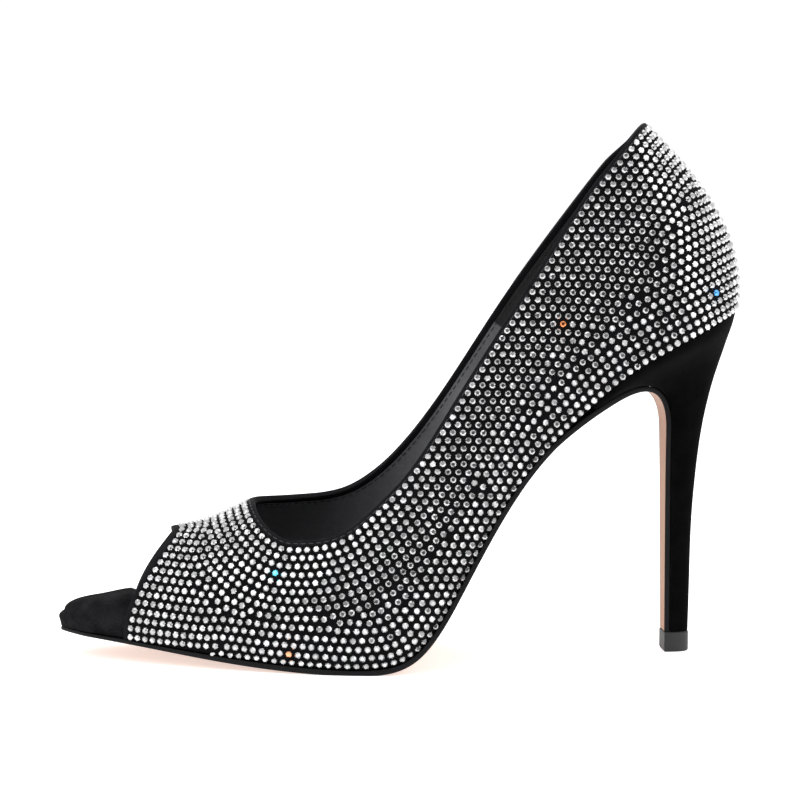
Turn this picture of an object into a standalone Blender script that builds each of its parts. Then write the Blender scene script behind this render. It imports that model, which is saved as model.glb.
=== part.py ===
"""Peep toe pump with a stiletto heel: the left shoe of a pair, standing on its sole.

Metres, +Z up. The toe points to -X and the outer, lateral side of the foot is -Y.
Sections are worked out as on a shoemaker's last. A feather line gives the height
and outline of the sole, and from it each wall section rises to a crest line over
the foot and is cut at the topline.
"""

import bpy
import bmesh
import numpy as np

# Sizes in metres
SOLE_LENGTH = 0.2054  # toe tip to the back of the heel seat, measured on the floor
BALL_WIDTH = 0.077
HEEL_HEIGHT = 0.1051  # floor to the feather edge at the back of the seat
TOPLINE_HEIGHT = 0.1606  # floor to the edge of the upper at the back of the heel
UPPER_WALL = 0.0017  # fabric, stiffener and lining together
BINDING_WIDTH = 0.0020  # plain band round the topline
PEEP_BINDING_WIDTH = 0.0018
BINDING_RAISE = 0.0002  # how far a band stands proud of the wall on each face
OUTSOLE_THICKNESS = 0.0016
OUTSOLE_INSET = 0.0004
TOE_PAD_HEIGHT = 0.0080  # wrapped side of the insole in the open toe
TIP_HEIGHT = 0.0060
TIP_OVERHANG = 0.0002
GAP = 0.0003  # seam between two pieces that meet
ROLL = 0.0012  # how far the upper curls in under itself at the feather line

# Shares of the sole length
TOE_ROUND = 0.045
PEEP_FOOT = 0.098
THROAT_FOOT = 0.260
THROAT_TURN_LATERAL = 0.069
THROAT_TURN_MEDIAL = 0.122
VAMP_END = 0.41  # the sections stop leaning like the vamp's here
SEAT_CENTRE = 0.886
WAIST_THIN = 0.90  # outsole under the arch and down the heel, share of its thickness
WAIST_END = 0.712  # the outsole leaves the upper here and curves down the heel breast
BACK_SWELL = 0.0690  # fullness of the back low down and high up
BACK_SHOULDER = 0.0420

# Feather line and outline. along: share of SOLE_LENGTH, rise: of HEEL_HEIGHT,
# lateral and medial: half-widths as shares of BALL_WIDTH, thickness: of the outsole,
# as a share of OUTSOLE_THICKNESS, roll: of ROLL.
SOLE_COLUMNS = ("along", "rise", "lateral", "medial", "thickness", "roll")
SOLE_ROWS = (
    (0.000, 0.0809, 0.010, 0.110, 0.62, 0.0),
    (0.045, 0.0755, 0.095, 0.195, 0.66, 0.0),
    (0.120, 0.0636, 0.215, 0.275, 0.69, 0.6),
    (0.210, 0.0452, 0.330, 0.380, 0.85, 1.0),
    (0.310, 0.0265, 0.430, 0.470, 0.96, 1.0),
    (0.400, 0.0169, 0.495, 0.500, 1.00, 1.0),
    (0.465, 0.0195, 0.515, 0.465, 1.00, 1.0),
    (0.516, 0.0580, 0.500, 0.400, 0.95, 1.0),
    (0.550, 0.1365, 0.470, 0.340, WAIST_THIN, 1.0),
    (0.584, 0.2493, 0.430, 0.290, WAIST_THIN, 1.0),
    (0.633, 0.4158, 0.385, 0.240, WAIST_THIN, 0.9),
    (0.686, 0.5633, 0.350, 0.225, WAIST_THIN, 0.6),
    (0.750, 0.6903, 0.328, 0.240, WAIST_THIN, 0.3),
    (0.820, 0.8078, 0.320, 0.285, WAIST_THIN, 0.1),
    (0.886, 0.8858, 0.318, 0.318, WAIST_THIN, 0.0),
    (1.000, 1.0000, 0.318, 0.318, WAIST_THIN, 0.0),
)

# Wall sections. crest_along: share of SOLE_LENGTH, crest_rise: of TOPLINE_HEIGHT.
# crown, swell and shoulder are widths as shares of BALL_WIDTH: the crest's distance
# from the middle, and how full the section is low down and high up. lift, sweep and
# drop place the fullness along the section. The cuts are the topline's levels.
WALL_COLUMNS = (
    "along", "crest_along", "crest_rise", "crown", "swell_lateral", "swell_medial",
    "shoulder", "lift", "sweep", "drop", "cut_lateral", "cut_medial",
)
WALL_ROWS = (
    (0.098, 0.1650, 0.2423, 0.15, 0.030, 0.020, 0.150, 0.55, 0.37, 0.00, 0.54, 0.65),
    (0.195, 0.2340, 0.2630, 0.15, 0.030, 0.020, 0.220, 0.55, 0.22, 0.00, 0.54, 0.65),
    (0.273, 0.2980, 0.3009, 0.15, 0.030, 0.020, 0.260, 0.52, 0.08, 0.00, 0.55, 0.67),
    (0.341, 0.3650, 0.3347, 0.15, 0.030, 0.020, 0.240, 0.50, 0.00, 0.05, 0.525, 0.68),
    (0.409, 0.4190, 0.3776, 0.15, 0.030, 0.025, 0.200, 0.48, 0.00, 0.10, 0.522, 0.635),
    (0.472, 0.4625, 0.4334, 0.20, 0.030, 0.030, 0.150, 0.46, 0.00, 0.15, 0.580, 0.635),
    (0.526, 0.5015, 0.4956, 0.23, 0.030, 0.040, 0.120, 0.44, 0.00, 0.20, 0.618, 0.655),
    (0.604, 0.5700, 0.6197, 0.25, 0.030, 0.060, 0.090, 0.42, 0.00, 0.25, 0.655, 0.655),
    (0.701, 0.6670, 0.7741, 0.25, 0.030, 0.060, 0.060, 0.40, 0.00, 0.28, 0.740, 0.745),
    (0.818, 0.7640, 0.9076, 0.24, 0.030, 0.040, 0.050, 0.38, 0.00, 0.28, 0.892, 0.850),
    (0.886, 0.8130, 0.9634, 0.23, 0.030, 0.030, 0.050, 0.38, 0.00, 0.28, 0.948, 0.915),
    (0.945, 0.8400, 0.9870, 0.225, 0.030, 0.030, 0.050, 0.38, 0.00, 0.282, 0.990, 0.950),
    (1.000, 0.8605, 1.0000, 0.22, 0.030, 0.030, 0.050, 0.38, 0.00, 0.284, 1.00, 1.00),
)

# Insole. side: height of its side, crown: of its dome above that, both shares of
# TOE_PAD_HEIGHT. In the open toe its side is drawn in by tuck at each share of the height.
PAD_COLUMNS = ("along", "side", "crown")
PAD_ROWS = (
    (0.000, 0.72, 0.42),
    (0.045, 0.82, 0.36),
    (0.098, 1.02, 0.52),
    (0.200, 0.78, 0.36),
    (0.310, 0.46, 0.22),
    (0.450, 0.42, 0.12),
    (1.000, 0.42, 0.12),
)
PAD_SIDE_COLUMNS = ("height", "tuck")
PAD_SIDE_ROWS = (
    (0.00, 0.0003),
    (0.35, -0.0002),
    (0.75, -0.0005),
    (1.00, 0.0004),
)
DOME_SHARES = (0.1, 0.25, 0.5, 0.75, 0.9)  # lines of the dome between its two sides
DOME_POWER = 4

# Heel. down: 0 to 1 round the breast curve, 1 to 2 down the shaft.
BREAST_COLUMNS = ("down", "lateral", "medial")
BREAST_ROWS = (
    (0.00, 0.334, 0.233),
    (0.25, 0.325, 0.245),
    (0.45, 0.285, 0.255),
    (0.60, 0.205, 0.200),
    (0.80, 0.130, 0.130),
    (1.00, 0.098, 0.098),
    (1.50, 0.072, 0.072),
    (2.00, 0.060, 0.060),
)
BREAST_REACH = 0.0296  # upper handle of the breast curve, share of SOLE_LENGTH
BREAST_FALL = 0.1456  # lower handle, likewise
BREAST_EASE = 0.5  # share of the breast curve over which the sole's edge joins the heel's
BREAST_TOP = (0.9005, 0.648)  # along and rise where the shaft begins
BREAST_FOOT = 0.9022  # along where the shaft meets the tip
HEEL_LIP = 0.36  # where on the breast curve the front of the heel begins
HEEL_SETTLE = 1.15  # how late the heel's back turns down, as a power
HEEL_ROUNDNESS = 2.4  # power of the superellipse of its plan
HEEL_BACK_COLUMNS = ("rise", "along")
HEEL_BACK_ROWS = (
    (0.0585, 0.9326),
    (0.1949, 0.9343),
    (0.3897, 0.9370),
    (0.5262, 0.9427),
    (0.6625, 0.9520),
    (0.7307, 0.9593),
    (0.8038, 0.9692),
    (0.8839, 0.9822),
    (0.9182, 0.9874),
    (0.9534, 0.9930),
    (1.0000, 0.9985),
)

CREST_SPAN = (0.105, 0.99)  # where the slope of the crest line is read
EASE_LEVEL = 0.3  # below it the wall's inner face turns to lie square to the sole
ROLL_LEVEL = 0.07  # below it the wall curls in

# Numbers of mesh divisions
LEVELS = 12
ROLL_LEVELS = 3
VAMP_COLUMNS = 8
CORNER_COLUMNS = 9
SIDE_COLUMNS = 24
BACK_COLUMNS = 7
TOE_COLUMNS = 6
OUTSOLE_COLUMNS = 44
PAD_SPACES = 3  # between the toe's rounding and the peep
SEAT_COLUMNS = 7
SHAFT_RINGS = 8
BREAST_RINGS = 14
STEP = 1e-4
WELD = 2e-5


def table(columns, rows):
    return dict(zip(columns, np.array(rows, float).T))


SOLE = table(SOLE_COLUMNS, SOLE_ROWS)
WALL = table(WALL_COLUMNS, WALL_ROWS)
PAD = table(PAD_COLUMNS, PAD_ROWS)
PAD_SIDE = table(PAD_SIDE_COLUMNS, PAD_SIDE_ROWS)
BREAST = table(BREAST_COLUMNS, BREAST_ROWS)
HEEL_BACK = table(HEEL_BACK_COLUMNS, HEEL_BACK_ROWS)


def smooth(knots, values, at):
    """Natural cubic spline through the values at the knots, level beyond its ends."""
    gap = np.diff(knots)
    slope = np.diff(values) / gap
    count = len(knots)
    system = np.eye(count)
    right = np.zeros(count)
    for i in range(1, count - 1):
        system[i, i - 1 : i + 2] = gap[i - 1], 2 * (gap[i - 1] + gap[i]), gap[i]
        right[i] = 6 * (slope[i] - slope[i - 1])
    bend = np.linalg.solve(system, right)
    at = np.clip(at, knots[0], knots[-1])
    i = np.clip(np.searchsorted(knots, at) - 1, 0, count - 2)
    a = (knots[i + 1] - at) / gap[i]
    b = 1 - a
    curve = ((a**3 - a) * bend[i] + (b**3 - b) * bend[i + 1]) * gap[i] ** 2 / 6
    return a * values[i] + b * values[i + 1] + curve


def side_name(side):
    return "lateral" if side < 0 else "medial"


def unit(vectors):
    return vectors / np.linalg.norm(vectors, axis=-1, keepdims=True)


def station(u):
    """Place along the sole and angle round the toe or the seat, for a column number u.

    u is the share of the sole length, and runs on round both ends at an even pace.
    """
    toe = np.clip((TOE_ROUND - u) / TOE_ROUND, 0, np.pi / 2)
    seat = np.clip((u - SEAT_CENTRE) / (1 - SEAT_CENTRE), 0, np.pi)
    along = np.clip(u, TOE_ROUND, SEAT_CENTRE)
    along = along - TOE_ROUND * np.sin(toe) + (1 - SEAT_CENTRE) * np.sin(seat)
    return along, toe + seat


TIP = TOE_ROUND * (1 - np.pi / 2)
BACK = SEAT_CENTRE + (1 - SEAT_CENTRE) * np.pi / 2


def foot(u, side):
    """Point of the feather line."""
    along, turn = station(u)
    lateral = smooth(SOLE["along"], SOLE["lateral"], along)
    medial = smooth(SOLE["along"], SOLE["medial"], along)
    middle = (medial - lateral) / 2
    half = (medial + lateral) / 2
    y = BALL_WIDTH * (middle + side * half * np.cos(turn))
    z = HEEL_HEIGHT * smooth(SOLE["along"], SOLE["rise"], along)
    return np.stack([SOLE_LENGTH * along, y, z], -1)


def sole_up(u):
    """Unit normal of the sole's upper face in side view."""
    along = np.clip(station(u)[0], STEP, 1 - STEP)
    rise = smooth(SOLE["along"], SOLE["rise"], np.stack([along - STEP, along + STEP]))
    slope = (rise[1] - rise[0]) * HEEL_HEIGHT / (2 * STEP * SOLE_LENGTH)
    return unit(np.stack([-slope, 0 * slope, 1 + 0 * slope], -1))


def sole_out(u, side):
    """Unit normal of the outline, in the plane of the sole."""
    along_edge = foot(u + STEP, side) - foot(u - STEP, side)
    return unit(-side * np.cross(along_edge, sole_up(u)))


def crest_line(along):
    """Side view of the crest line: x and z."""
    x = SOLE_LENGTH * smooth(WALL["along"], WALL["crest_along"], along)
    return x, TOPLINE_HEIGHT * smooth(WALL["along"], WALL["crest_rise"], along)


def wall(u, side, level):
    """Point of the last's surface, from level 0 at the feather line to 1 at the crest."""
    along, turn = station(u)
    value = {name: smooth(WALL["along"], WALL[name], along) for name in WALL_COLUMNS[3:]}
    around, across = np.sin(turn), np.cos(turn)
    upright = np.clip((VAMP_END - along) / (VAMP_END - THROAT_FOOT), 0, 1)
    upright = upright * upright * (3 - 2 * upright)
    bottom = foot(u, side)
    crest_x, crest_z = crest_line(along)
    crown = side * BALL_WIDTH * value["crown"] * (1 - upright) * across
    crest = np.stack([crest_x, crown, crest_z], -1)
    lean = (crest - bottom) * (1, 0, 1)
    swell = BALL_WIDTH * value["swell_" + side_name(side)]
    first = bottom + value["lift"][..., None] * lean
    first[..., 0] -= value["lift"] * lean[..., 0] * upright
    first[..., 0] += SOLE_LENGTH * BACK_SWELL * around
    first[..., 1] += side * swell * across
    inside = np.clip(along, *CREST_SPAN)
    here, ahead = crest_line(inside), crest_line(inside + STEP)
    slope = (ahead[1] - here[1]) / (ahead[0] - here[0])
    sweep = value["sweep"] * lean[..., 0]
    second = crest - value["drop"][..., None] * lean
    second[..., 0] += sweep + SOLE_LENGTH * BACK_SHOULDER * around
    second[..., 1] += side * BALL_WIDTH * value["shoulder"] * across
    second[..., 2] += sweep * slope
    v = level[..., None]
    w = 1 - v
    section = w**3 * bottom + 3 * w * w * v * first + 3 * w * v * v * second + v**3 * crest
    roll = ROLL * smooth(SOLE["along"], SOLE["roll"], along)
    curl = roll * np.clip(1 - level / ROLL_LEVEL, 0, 1) ** 2
    return section - curl[..., None] * sole_out(u, side)


def outward(u, side, level):
    """Normal of the wall, eased near the feather line to lie in the plane of the sole."""
    before = wall(np.maximum(u - STEP, PEEP_FOOT), side, level)
    after = wall(u + STEP, side, level)
    below = wall(u, side, np.clip(level - STEP, 0, 1))
    above = wall(u, side, np.clip(level + STEP, 0, 1))
    normal = unit(-side * np.cross(after - before, above - below))
    up = sole_up(u)
    flat = normal - (normal * up).sum(-1, keepdims=True) * up
    flat = flat / (flat * flat).sum(-1, keepdims=True)
    ease = np.clip(1 - level / EASE_LEVEL, 0, 1)[..., None] ** 2
    return normal + ease * (flat - normal)


def cut_level(u, side):
    return smooth(WALL["along"], WALL["cut_" + side_name(side)], station(u)[0])


def edge_stretch(u, side):
    """Distance on the wall, square to the topline, that one whole level would cover."""
    cut = cut_level(u, side)
    column = (wall(u, side, cut) - wall(u, side, cut - STEP)) / STEP
    ahead = wall(u + STEP, side, cut_level(u + STEP, side))
    behind = wall(u - STEP, side, cut_level(u - STEP, side))
    line = unit(ahead - behind)
    return np.linalg.norm(np.cross(column, line), axis=-1)


def topline(side, inset):
    """Columns and levels of a line that runs this far inside the topline, from throat to back."""
    turn = THROAT_TURN_LATERAL if side < 0 else THROAT_TURN_MEDIAL
    throat, crest = np.array([THROAT_FOOT]), np.array([1.0])
    stretch = np.linalg.norm(wall(throat + STEP, side, crest) - wall(throat, side, crest)) / STEP
    start = THROAT_FOOT - inset / stretch
    centre = THROAT_FOOT + turn
    angle = np.linspace(0, np.pi / 2, CORNER_COLUMNS + 1)
    u = np.concatenate(
        [
            centre - (centre - start) * np.cos(angle),
            np.linspace(centre, SEAT_CENTRE, SIDE_COLUMNS + 1)[1:],
            np.linspace(SEAT_CENTRE, BACK, BACK_COLUMNS + 1)[1:],
        ]
    )
    share = np.ones(len(u))
    share[: CORNER_COLUMNS + 1] = np.sin(angle)
    return u, 1 - (1 - cut_level(u, side) + inset / edge_stretch(u, side)) * share


def wall_levels():
    """Levels of the wall's lines, closer together where it curls in."""
    curled = np.linspace(0, ROLL_LEVEL, ROLL_LEVELS + 1)[:-1]
    return np.concatenate([curled, np.linspace(ROLL_LEVEL, 1, LEVELS + 1)])


def peep_column(side, inset, level):
    """Column number, level by level, of a line this far behind the peep edge."""
    u = np.full(len(level), PEEP_FOOT)
    along = (wall(u + STEP, side, level) - wall(u, side, level)) / STEP
    above = wall(u, side, np.clip(level + STEP, 0, 1))
    column = above - wall(u, side, np.clip(level - STEP, 0, 1))
    return u + inset / np.linalg.norm(np.cross(along, unit(column)), axis=-1)


def grid_faces(rows, columns, start=0):
    """Quads of a grid of points numbered row by row."""
    i, j = np.meshgrid(np.arange(rows - 1), np.arange(columns - 1), indexing="ij")
    a = (start + i * columns + j).ravel()
    return np.stack([a, a + 1, a + columns + 1, a + columns], -1).tolist()


def loft(rings):
    """Closed body through rings of points. The end rings are closed by a ladder of quads."""
    count, size = rings.shape[:2]
    looped = np.concatenate([rings, rings[:, :1]], axis=1)
    faces = grid_faces(count, size + 1)
    for first in (0, (count - 1) * (size + 1)):
        for j in range(size // 2 - (size % 2 == 0)):
            near, far = first + j, first + size - 1 - j
            faces.append((near, near + 1, far - 1, far))
    return looped.reshape(-1, 3), faces


def colour(name, hex_code, roughness, metallic=0.0):
    channel = [int(hex_code[i : i + 2], 16) / 255 for i in (0, 2, 4)]
    linear = [c / 12.92 if c <= 0.04045 else ((c + 0.055) / 1.055) ** 2.4 for c in channel]
    material = bpy.data.materials.new(name)
    material.use_nodes = True
    shader = material.node_tree.nodes["Principled BSDF"]
    shader.inputs["Base Color"].default_value = (*linear, 1)
    shader.inputs["Roughness"].default_value = roughness
    shader.inputs["Metallic"].default_value = metallic
    material.diffuse_color = (*linear, 1)
    return material


def add_piece(name, points, faces, material):
    """Object from points and faces, welded and faced outwards."""
    body = bmesh.new()
    verts = [body.verts.new(point) for point in points]
    for face in faces:
        corners = [verts[i] for i in dict.fromkeys(face)]
        if body.faces.get(corners) is None:
            body.faces.new(corners)
    bmesh.ops.remove_doubles(body, verts=body.verts, dist=WELD)
    bmesh.ops.triangulate(body, faces=body.faces)
    bmesh.ops.recalc_face_normals(body, faces=body.faces)
    if body.calc_volume(signed=True) < 0:
        bmesh.ops.reverse_faces(body, faces=body.faces)
    mesh = bpy.data.meshes.new(name)
    body.to_mesh(mesh)
    body.free()
    mesh.materials.append(material)
    piece = bpy.data.objects.new(name, mesh)
    bpy.context.scene.collection.objects.link(piece)
    return piece


def upper_sheet(side, depth):
    """Grid of the upper on one side, this deep inside its outer face: columns by levels."""
    inset = BINDING_WIDTH + GAP
    edge_u, edge_level = topline(side, inset)
    level = wall_levels()
    front = peep_column(side, PEEP_BINDING_WIDTH + GAP, level)
    share = np.linspace(0, 1, VAMP_COLUMNS + 1)[:-1, None]
    vamp_u = front + (edge_u[0] - front) * share
    u = np.concatenate([vamp_u, np.repeat(edge_u[:, None], len(level), 1)])
    v = np.concatenate([np.repeat(level[None], VAMP_COLUMNS, 0), edge_level[:, None] * level])
    sheet = wall(u, side, v) - depth * outward(u, side, v)
    sheet[: VAMP_COLUMNS + 1, -1, 1] = 0  # both sides meet over the middle of the vamp
    return sheet


def add_upper(material):
    """Both sides and both faces of the shell, with rims round its bottom, peep and topline."""
    sheets = [upper_sheet(side, depth) for side in (-1, 1) for depth in (0, UPPER_WALL)]
    rows, columns = sheets[0].shape[:2]
    size = rows * columns
    faces = []
    for k in range(4):
        faces += grid_faces(rows, columns, k * size)
    for pair in (0, 2):
        outer, inner = pair * size, (pair + 1) * size
        bottom = [i * columns for i in range(rows)]
        front = list(range(columns))
        top = [i * columns + columns - 1 for i in range(VAMP_COLUMNS, rows)]
        for line in (bottom, front, top):
            for a, b in zip(line, line[1:]):
                faces.append((outer + a, outer + b, inner + b, inner + a))
    points = np.concatenate([sheet.reshape(-1, 3) for sheet in sheets])
    return add_piece("upper", points, faces, material)


def add_topline_binding(material):
    """Band round the topline, from the throat along both sides to the back."""
    rings = []
    for side in (-1, 1):
        corners = []
        for inset, depth in (
            (0, -BINDING_RAISE),
            (BINDING_WIDTH / 2, -BINDING_RAISE),
            (BINDING_WIDTH, -BINDING_RAISE),
            (BINDING_WIDTH, UPPER_WALL + BINDING_RAISE),
            (BINDING_WIDTH / 2, UPPER_WALL + BINDING_RAISE),
            (0, UPPER_WALL + BINDING_RAISE),
        ):
            u, level = topline(side, inset)
            corners.append(wall(u, side, level) - depth * outward(u, side, level))
        rings.append(np.stack(corners, 1))
    around = np.concatenate([rings[0], rings[1][-2:0:-1]])
    looped = np.concatenate([around, around[:1]])
    looped = np.concatenate([looped, looped[:, :1]], axis=1)
    faces = grid_faces(*looped.shape[:2])
    return add_piece("topline_binding", looped.reshape(-1, 3), faces, material)


def add_peep_binding(material):
    """Band along the peep edge, from feather line to feather line over the vamp."""
    level = wall_levels()
    sides = []
    for side in (-1, 1):
        corners = []
        for inset, depth in (
            (0, -BINDING_RAISE),
            (PEEP_BINDING_WIDTH, -BINDING_RAISE),
            (PEEP_BINDING_WIDTH, UPPER_WALL + BINDING_RAISE),
            (0, UPPER_WALL + BINDING_RAISE),
        ):
            u = peep_column(side, inset, level)
            corners.append(wall(u, side, level) - depth * outward(u, side, level))
        sides.append(np.stack(corners, 1))
    rings = np.concatenate([sides[0], sides[1][-2::-1]])
    return add_piece("peep_binding", *loft(rings), material)


def add_insole(material):
    """Wrapped insole: it fills the shoe's bottom and runs out through the peep to the tip."""
    inner = UPPER_WALL + BINDING_RAISE + GAP
    toe_u = np.concatenate(
        [
            np.linspace(TIP, TOE_ROUND, TOE_COLUMNS + 1),
            np.linspace(TOE_ROUND, PEEP_FOOT, PAD_SPACES + 1)[1:-1],
        ]
    )
    shoe_u = np.concatenate(
        [
            np.linspace(PEEP_FOOT, SEAT_CENTRE, SIDE_COLUMNS + 1),
            np.linspace(SEAT_CENTRE, BACK, BACK_COLUMNS + 1)[1:],
        ]
    )
    u = np.concatenate([toe_u, shoe_u])
    along, turn = station(u)
    side_height = TOE_PAD_HEIGHT * smooth(PAD["along"], PAD["side"], along)
    crown = TOE_PAD_HEIGHT * smooth(PAD["along"], PAD["crown"], along) * np.cos(turn)
    up = sole_up(u)
    count = len(toe_u)
    toe_inset = inner * np.clip(along[:count] / PEEP_FOOT, 0, 1) ** 2
    zero = np.zeros(len(shoe_u))
    halves = []
    for side in (-1, 1):
        climb = (wall(shoe_u, side, zero + STEP) - wall(shoe_u, side, zero)) / STEP
        climb = (climb * up[count:]).sum(-1)
        lines = []
        for share, tuck in zip(PAD_SIDE["height"], PAD_SIDE["tuck"]):
            height = share * side_height[:count, None] * up[:count]
            inward = (toe_inset + tuck)[:, None] * sole_out(toe_u, side)
            toe = foot(toe_u, side) + height - inward
            level = share * side_height[count:] / climb
            shoe = wall(shoe_u, side, level) - inner * outward(shoe_u, side, level)
            lines.append(np.concatenate([toe, shoe]))
        halves.append(np.stack(lines, 1))
    lateral, medial = halves
    dome = []
    for share in DOME_SHARES:
        bulge = (1 - (2 * share - 1) ** DOME_POWER) * crown
        dome.append(lateral[:, -1] * (1 - share) + medial[:, -1] * share + bulge[:, None] * up)
    rings = np.concatenate([lateral, np.stack(dome, 1), medial[:, ::-1]], axis=1)
    return add_piece("insole", *loft(rings), material)


def breast_path(down):
    """Outsole's inner face from the waist down to the heel tip: x and z, and its way in."""
    here = np.array([WAIST_END])
    up = sole_up(here)[0]
    start = (foot(here, -1)[0] - GAP * up)[[0, 2]]
    top = np.array([SOLE_LENGTH * BREAST_TOP[0], HEEL_HEIGHT * BREAST_TOP[1]])
    first = start + SOLE_LENGTH * BREAST_REACH * np.array([up[2], -up[0]])
    second = top + (0, SOLE_LENGTH * BREAST_FALL)
    t = np.clip(down, 0, 1)[:, None]
    w = 1 - t
    curve = w**3 * start + 3 * w * w * t * first + 3 * w * t * t * second + t**3 * top
    pace = w * w * (first - start) + 2 * w * t * (second - first) + t * t * (top - second)
    low = np.array([SOLE_LENGTH * BREAST_FOOT, TIP_HEIGHT + GAP])
    shaft = np.clip(down - 1, 0, 1)[:, None]
    pace = unit(np.where(down[:, None] > 1, low - top, pace))
    return curve + shaft * (low - top), np.stack([-pace[:, 1], pace[:, 0]], -1)


def breast_y(down, side):
    return side * BALL_WIDTH * smooth(BREAST["down"], BREAST[side_name(side)], down)


def in_space(flat, y):
    return np.stack([flat[:, 0], y, flat[:, 1]], -1)


def add_outsole(material):
    """Outsole from the toe to the ball, up the waist and down the front of the heel."""
    u = np.concatenate(
        [
            np.linspace(TIP, TOE_ROUND, TOE_COLUMNS + 1),
            np.linspace(TOE_ROUND, WAIST_END, OUTSOLE_COLUMNS + 1)[1:],
        ]
    )
    along = station(u)[0]
    thickness = OUTSOLE_THICKNESS * smooth(SOLE["along"], SOLE["thickness"], along)
    up = sole_up(u)
    faces = []
    for side in (-1, 1):
        edge = foot(u, side) - OUTSOLE_INSET * sole_out(u, side)
        upper_face = edge - GAP * up
        lower_face = edge - (GAP + thickness)[:, None] * up
        lower_face[:, 2] = np.maximum(lower_face[:, 2], 0)
        faces.append((upper_face, lower_face))
    down = np.concatenate([np.linspace(0, 1, BREAST_RINGS + 1)[1:], BREAST["down"][-2:]])
    path, way_in = breast_path(down)
    outer = path - OUTSOLE_THICKNESS * WAIST_THIN * way_in
    outer[-1, 1] = path[-1, 1]
    for side, (upper_face, lower_face) in zip((-1, 1), faces):
        start = upper_face[-1, 1] - breast_y(np.zeros(1), side)[0]
        ease = np.clip(1 - down / BREAST_EASE, 0, 1)
        y = breast_y(down, side) + start * ease - side * OUTSOLE_INSET * (1 - ease)
        faces[(side + 1) // 2] = (
            np.concatenate([upper_face, in_space(path, y)]),
            np.concatenate([lower_face, in_space(outer, y)]),
        )
    rings = np.stack([faces[0][0], faces[1][0], faces[1][1], faces[0][1]], axis=1)
    return add_piece("outsole", *loft(rings), material)


def heel_rings():
    """Rings of the heel from its seat under the upper down to the heel tip."""
    down = np.concatenate(
        [np.linspace(HEEL_LIP, 1, BREAST_RINGS), np.linspace(1, 2, SHAFT_RINGS + 1)[1:]]
    )
    path, way_in = breast_path(down)
    front = path + GAP * way_in
    front[-1, 1] = TIP_HEIGHT + GAP
    first_u = front[0, 0] / SOLE_LENGTH
    u = np.concatenate(
        [
            np.linspace(first_u, SEAT_CENTRE, SEAT_COLUMNS),
            np.linspace(SEAT_CENTRE, BACK, BACK_COLUMNS + 1)[1:],
        ]
    )
    seats = [
        foot(u, side) - OUTSOLE_INSET * sole_out(u, side) - GAP * sole_up(u)
        for side in (-1, 1)
    ]
    seat = np.concatenate([seats[0], seats[1][-2::-1]])
    side = np.concatenate([-np.ones(len(u)), np.ones(len(u) - 1)])
    back = seat[len(u) - 1]
    a = (seat[:, 0] - seat[0, 0]) / (back[0] - seat[0, 0])
    settle = np.clip((down - HEEL_LIP) / (1 - HEEL_LIP), 0, 1)
    fall = np.where(down > 1, 1, settle**HEEL_SETTLE)
    back_z = back[2] + (front[:, 1] - back[2]) * fall
    back_x = SOLE_LENGTH * smooth(HEEL_BACK["rise"], HEEL_BACK["along"], back_z / HEEL_HEIGHT)
    back_x = back_x + (back[0] - back_x[0]) * (1 - settle) ** 2
    straight = front[0] + a[:, None] * (np.array([back_x[0], back_z[0]]) - front[0])
    rest = seat[:, [0, 2]] - straight
    rest[[0, -1]] = 0
    round_off = (1 - a**HEEL_ROUNDNESS) ** (1 / HEEL_ROUNDNESS)
    rings = [seat]
    for k in range(len(down)):
        flat = front[k] + a[:, None] * (np.array([back_x[k], back_z[k]]) - front[k])
        flat = flat + rest * (1 - settle[k]) ** 2
        width = np.where(
            side < 0,
            breast_y(down[k : k + 1], -1)[0],
            breast_y(down[k : k + 1], 1)[0],
        )
        blend = 1 - (1 - settle[k]) ** 2
        y = seat[:, 1] * (1 - blend) + width * round_off * blend
        y[0], y[-1] = width[0], width[-1]
        rings.append(in_space(flat, y))
    return np.array(rings)


def add_heel_tip(section, material):
    """Top piece: the shaft's last ring, a little larger, with the outsole's end in front of it."""
    low = section.copy()
    low[[0, -1], 0] -= GAP + OUTSOLE_THICKNESS * WAIST_THIN
    middle = np.array([low[:, 0].mean(), 0, 0])
    low[:, :2] += TIP_OVERHANG * unit((low - middle) * (1, 1, 0))[:, :2]
    rings = np.repeat(low[None], 2, 0)
    rings[0, :, 2] = TIP_HEIGHT
    rings[1, :, 2] = 0
    return add_piece("heel_tip", *loft(rings), material)


def centre_on_floor(pieces):
    """Moves every mesh so that the shoe's box is centred over the origin and stands on z = 0."""
    points = np.array([vertex.co for piece in pieces for vertex in piece.data.vertices])
    low, high = points.min(0), points.max(0)
    middle = (low + high) / 2
    for piece in pieces:
        for vertex in piece.data.vertices:
            vertex.co.x -= middle[0]
            vertex.co.y -= middle[1]
            vertex.co.z -= low[2]


def build():
    for old in list(bpy.data.objects):
        bpy.data.objects.remove(old)
    suede = colour("black_suede", "17171A", 0.9)
    crystal_fabric = colour("crystal_fabric", "8F8F92", 0.35)
    band = colour("black_binding", "1D1D20", 0.8)
    sole = colour("nude_leather", "D9A589", 0.45)
    rubber = colour("grey_rubber", "4A4A4C", 0.6)
    rings = heel_rings()
    pieces = [
        add_upper(crystal_fabric),
        add_topline_binding(band),
        add_peep_binding(band),
        add_insole(suede),
        add_outsole(sole),
        add_piece("heel", *loft(rings), suede),
        add_heel_tip(rings[-1], rubber),
    ]
    centre_on_floor(pieces)


build()
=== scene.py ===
import math

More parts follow.
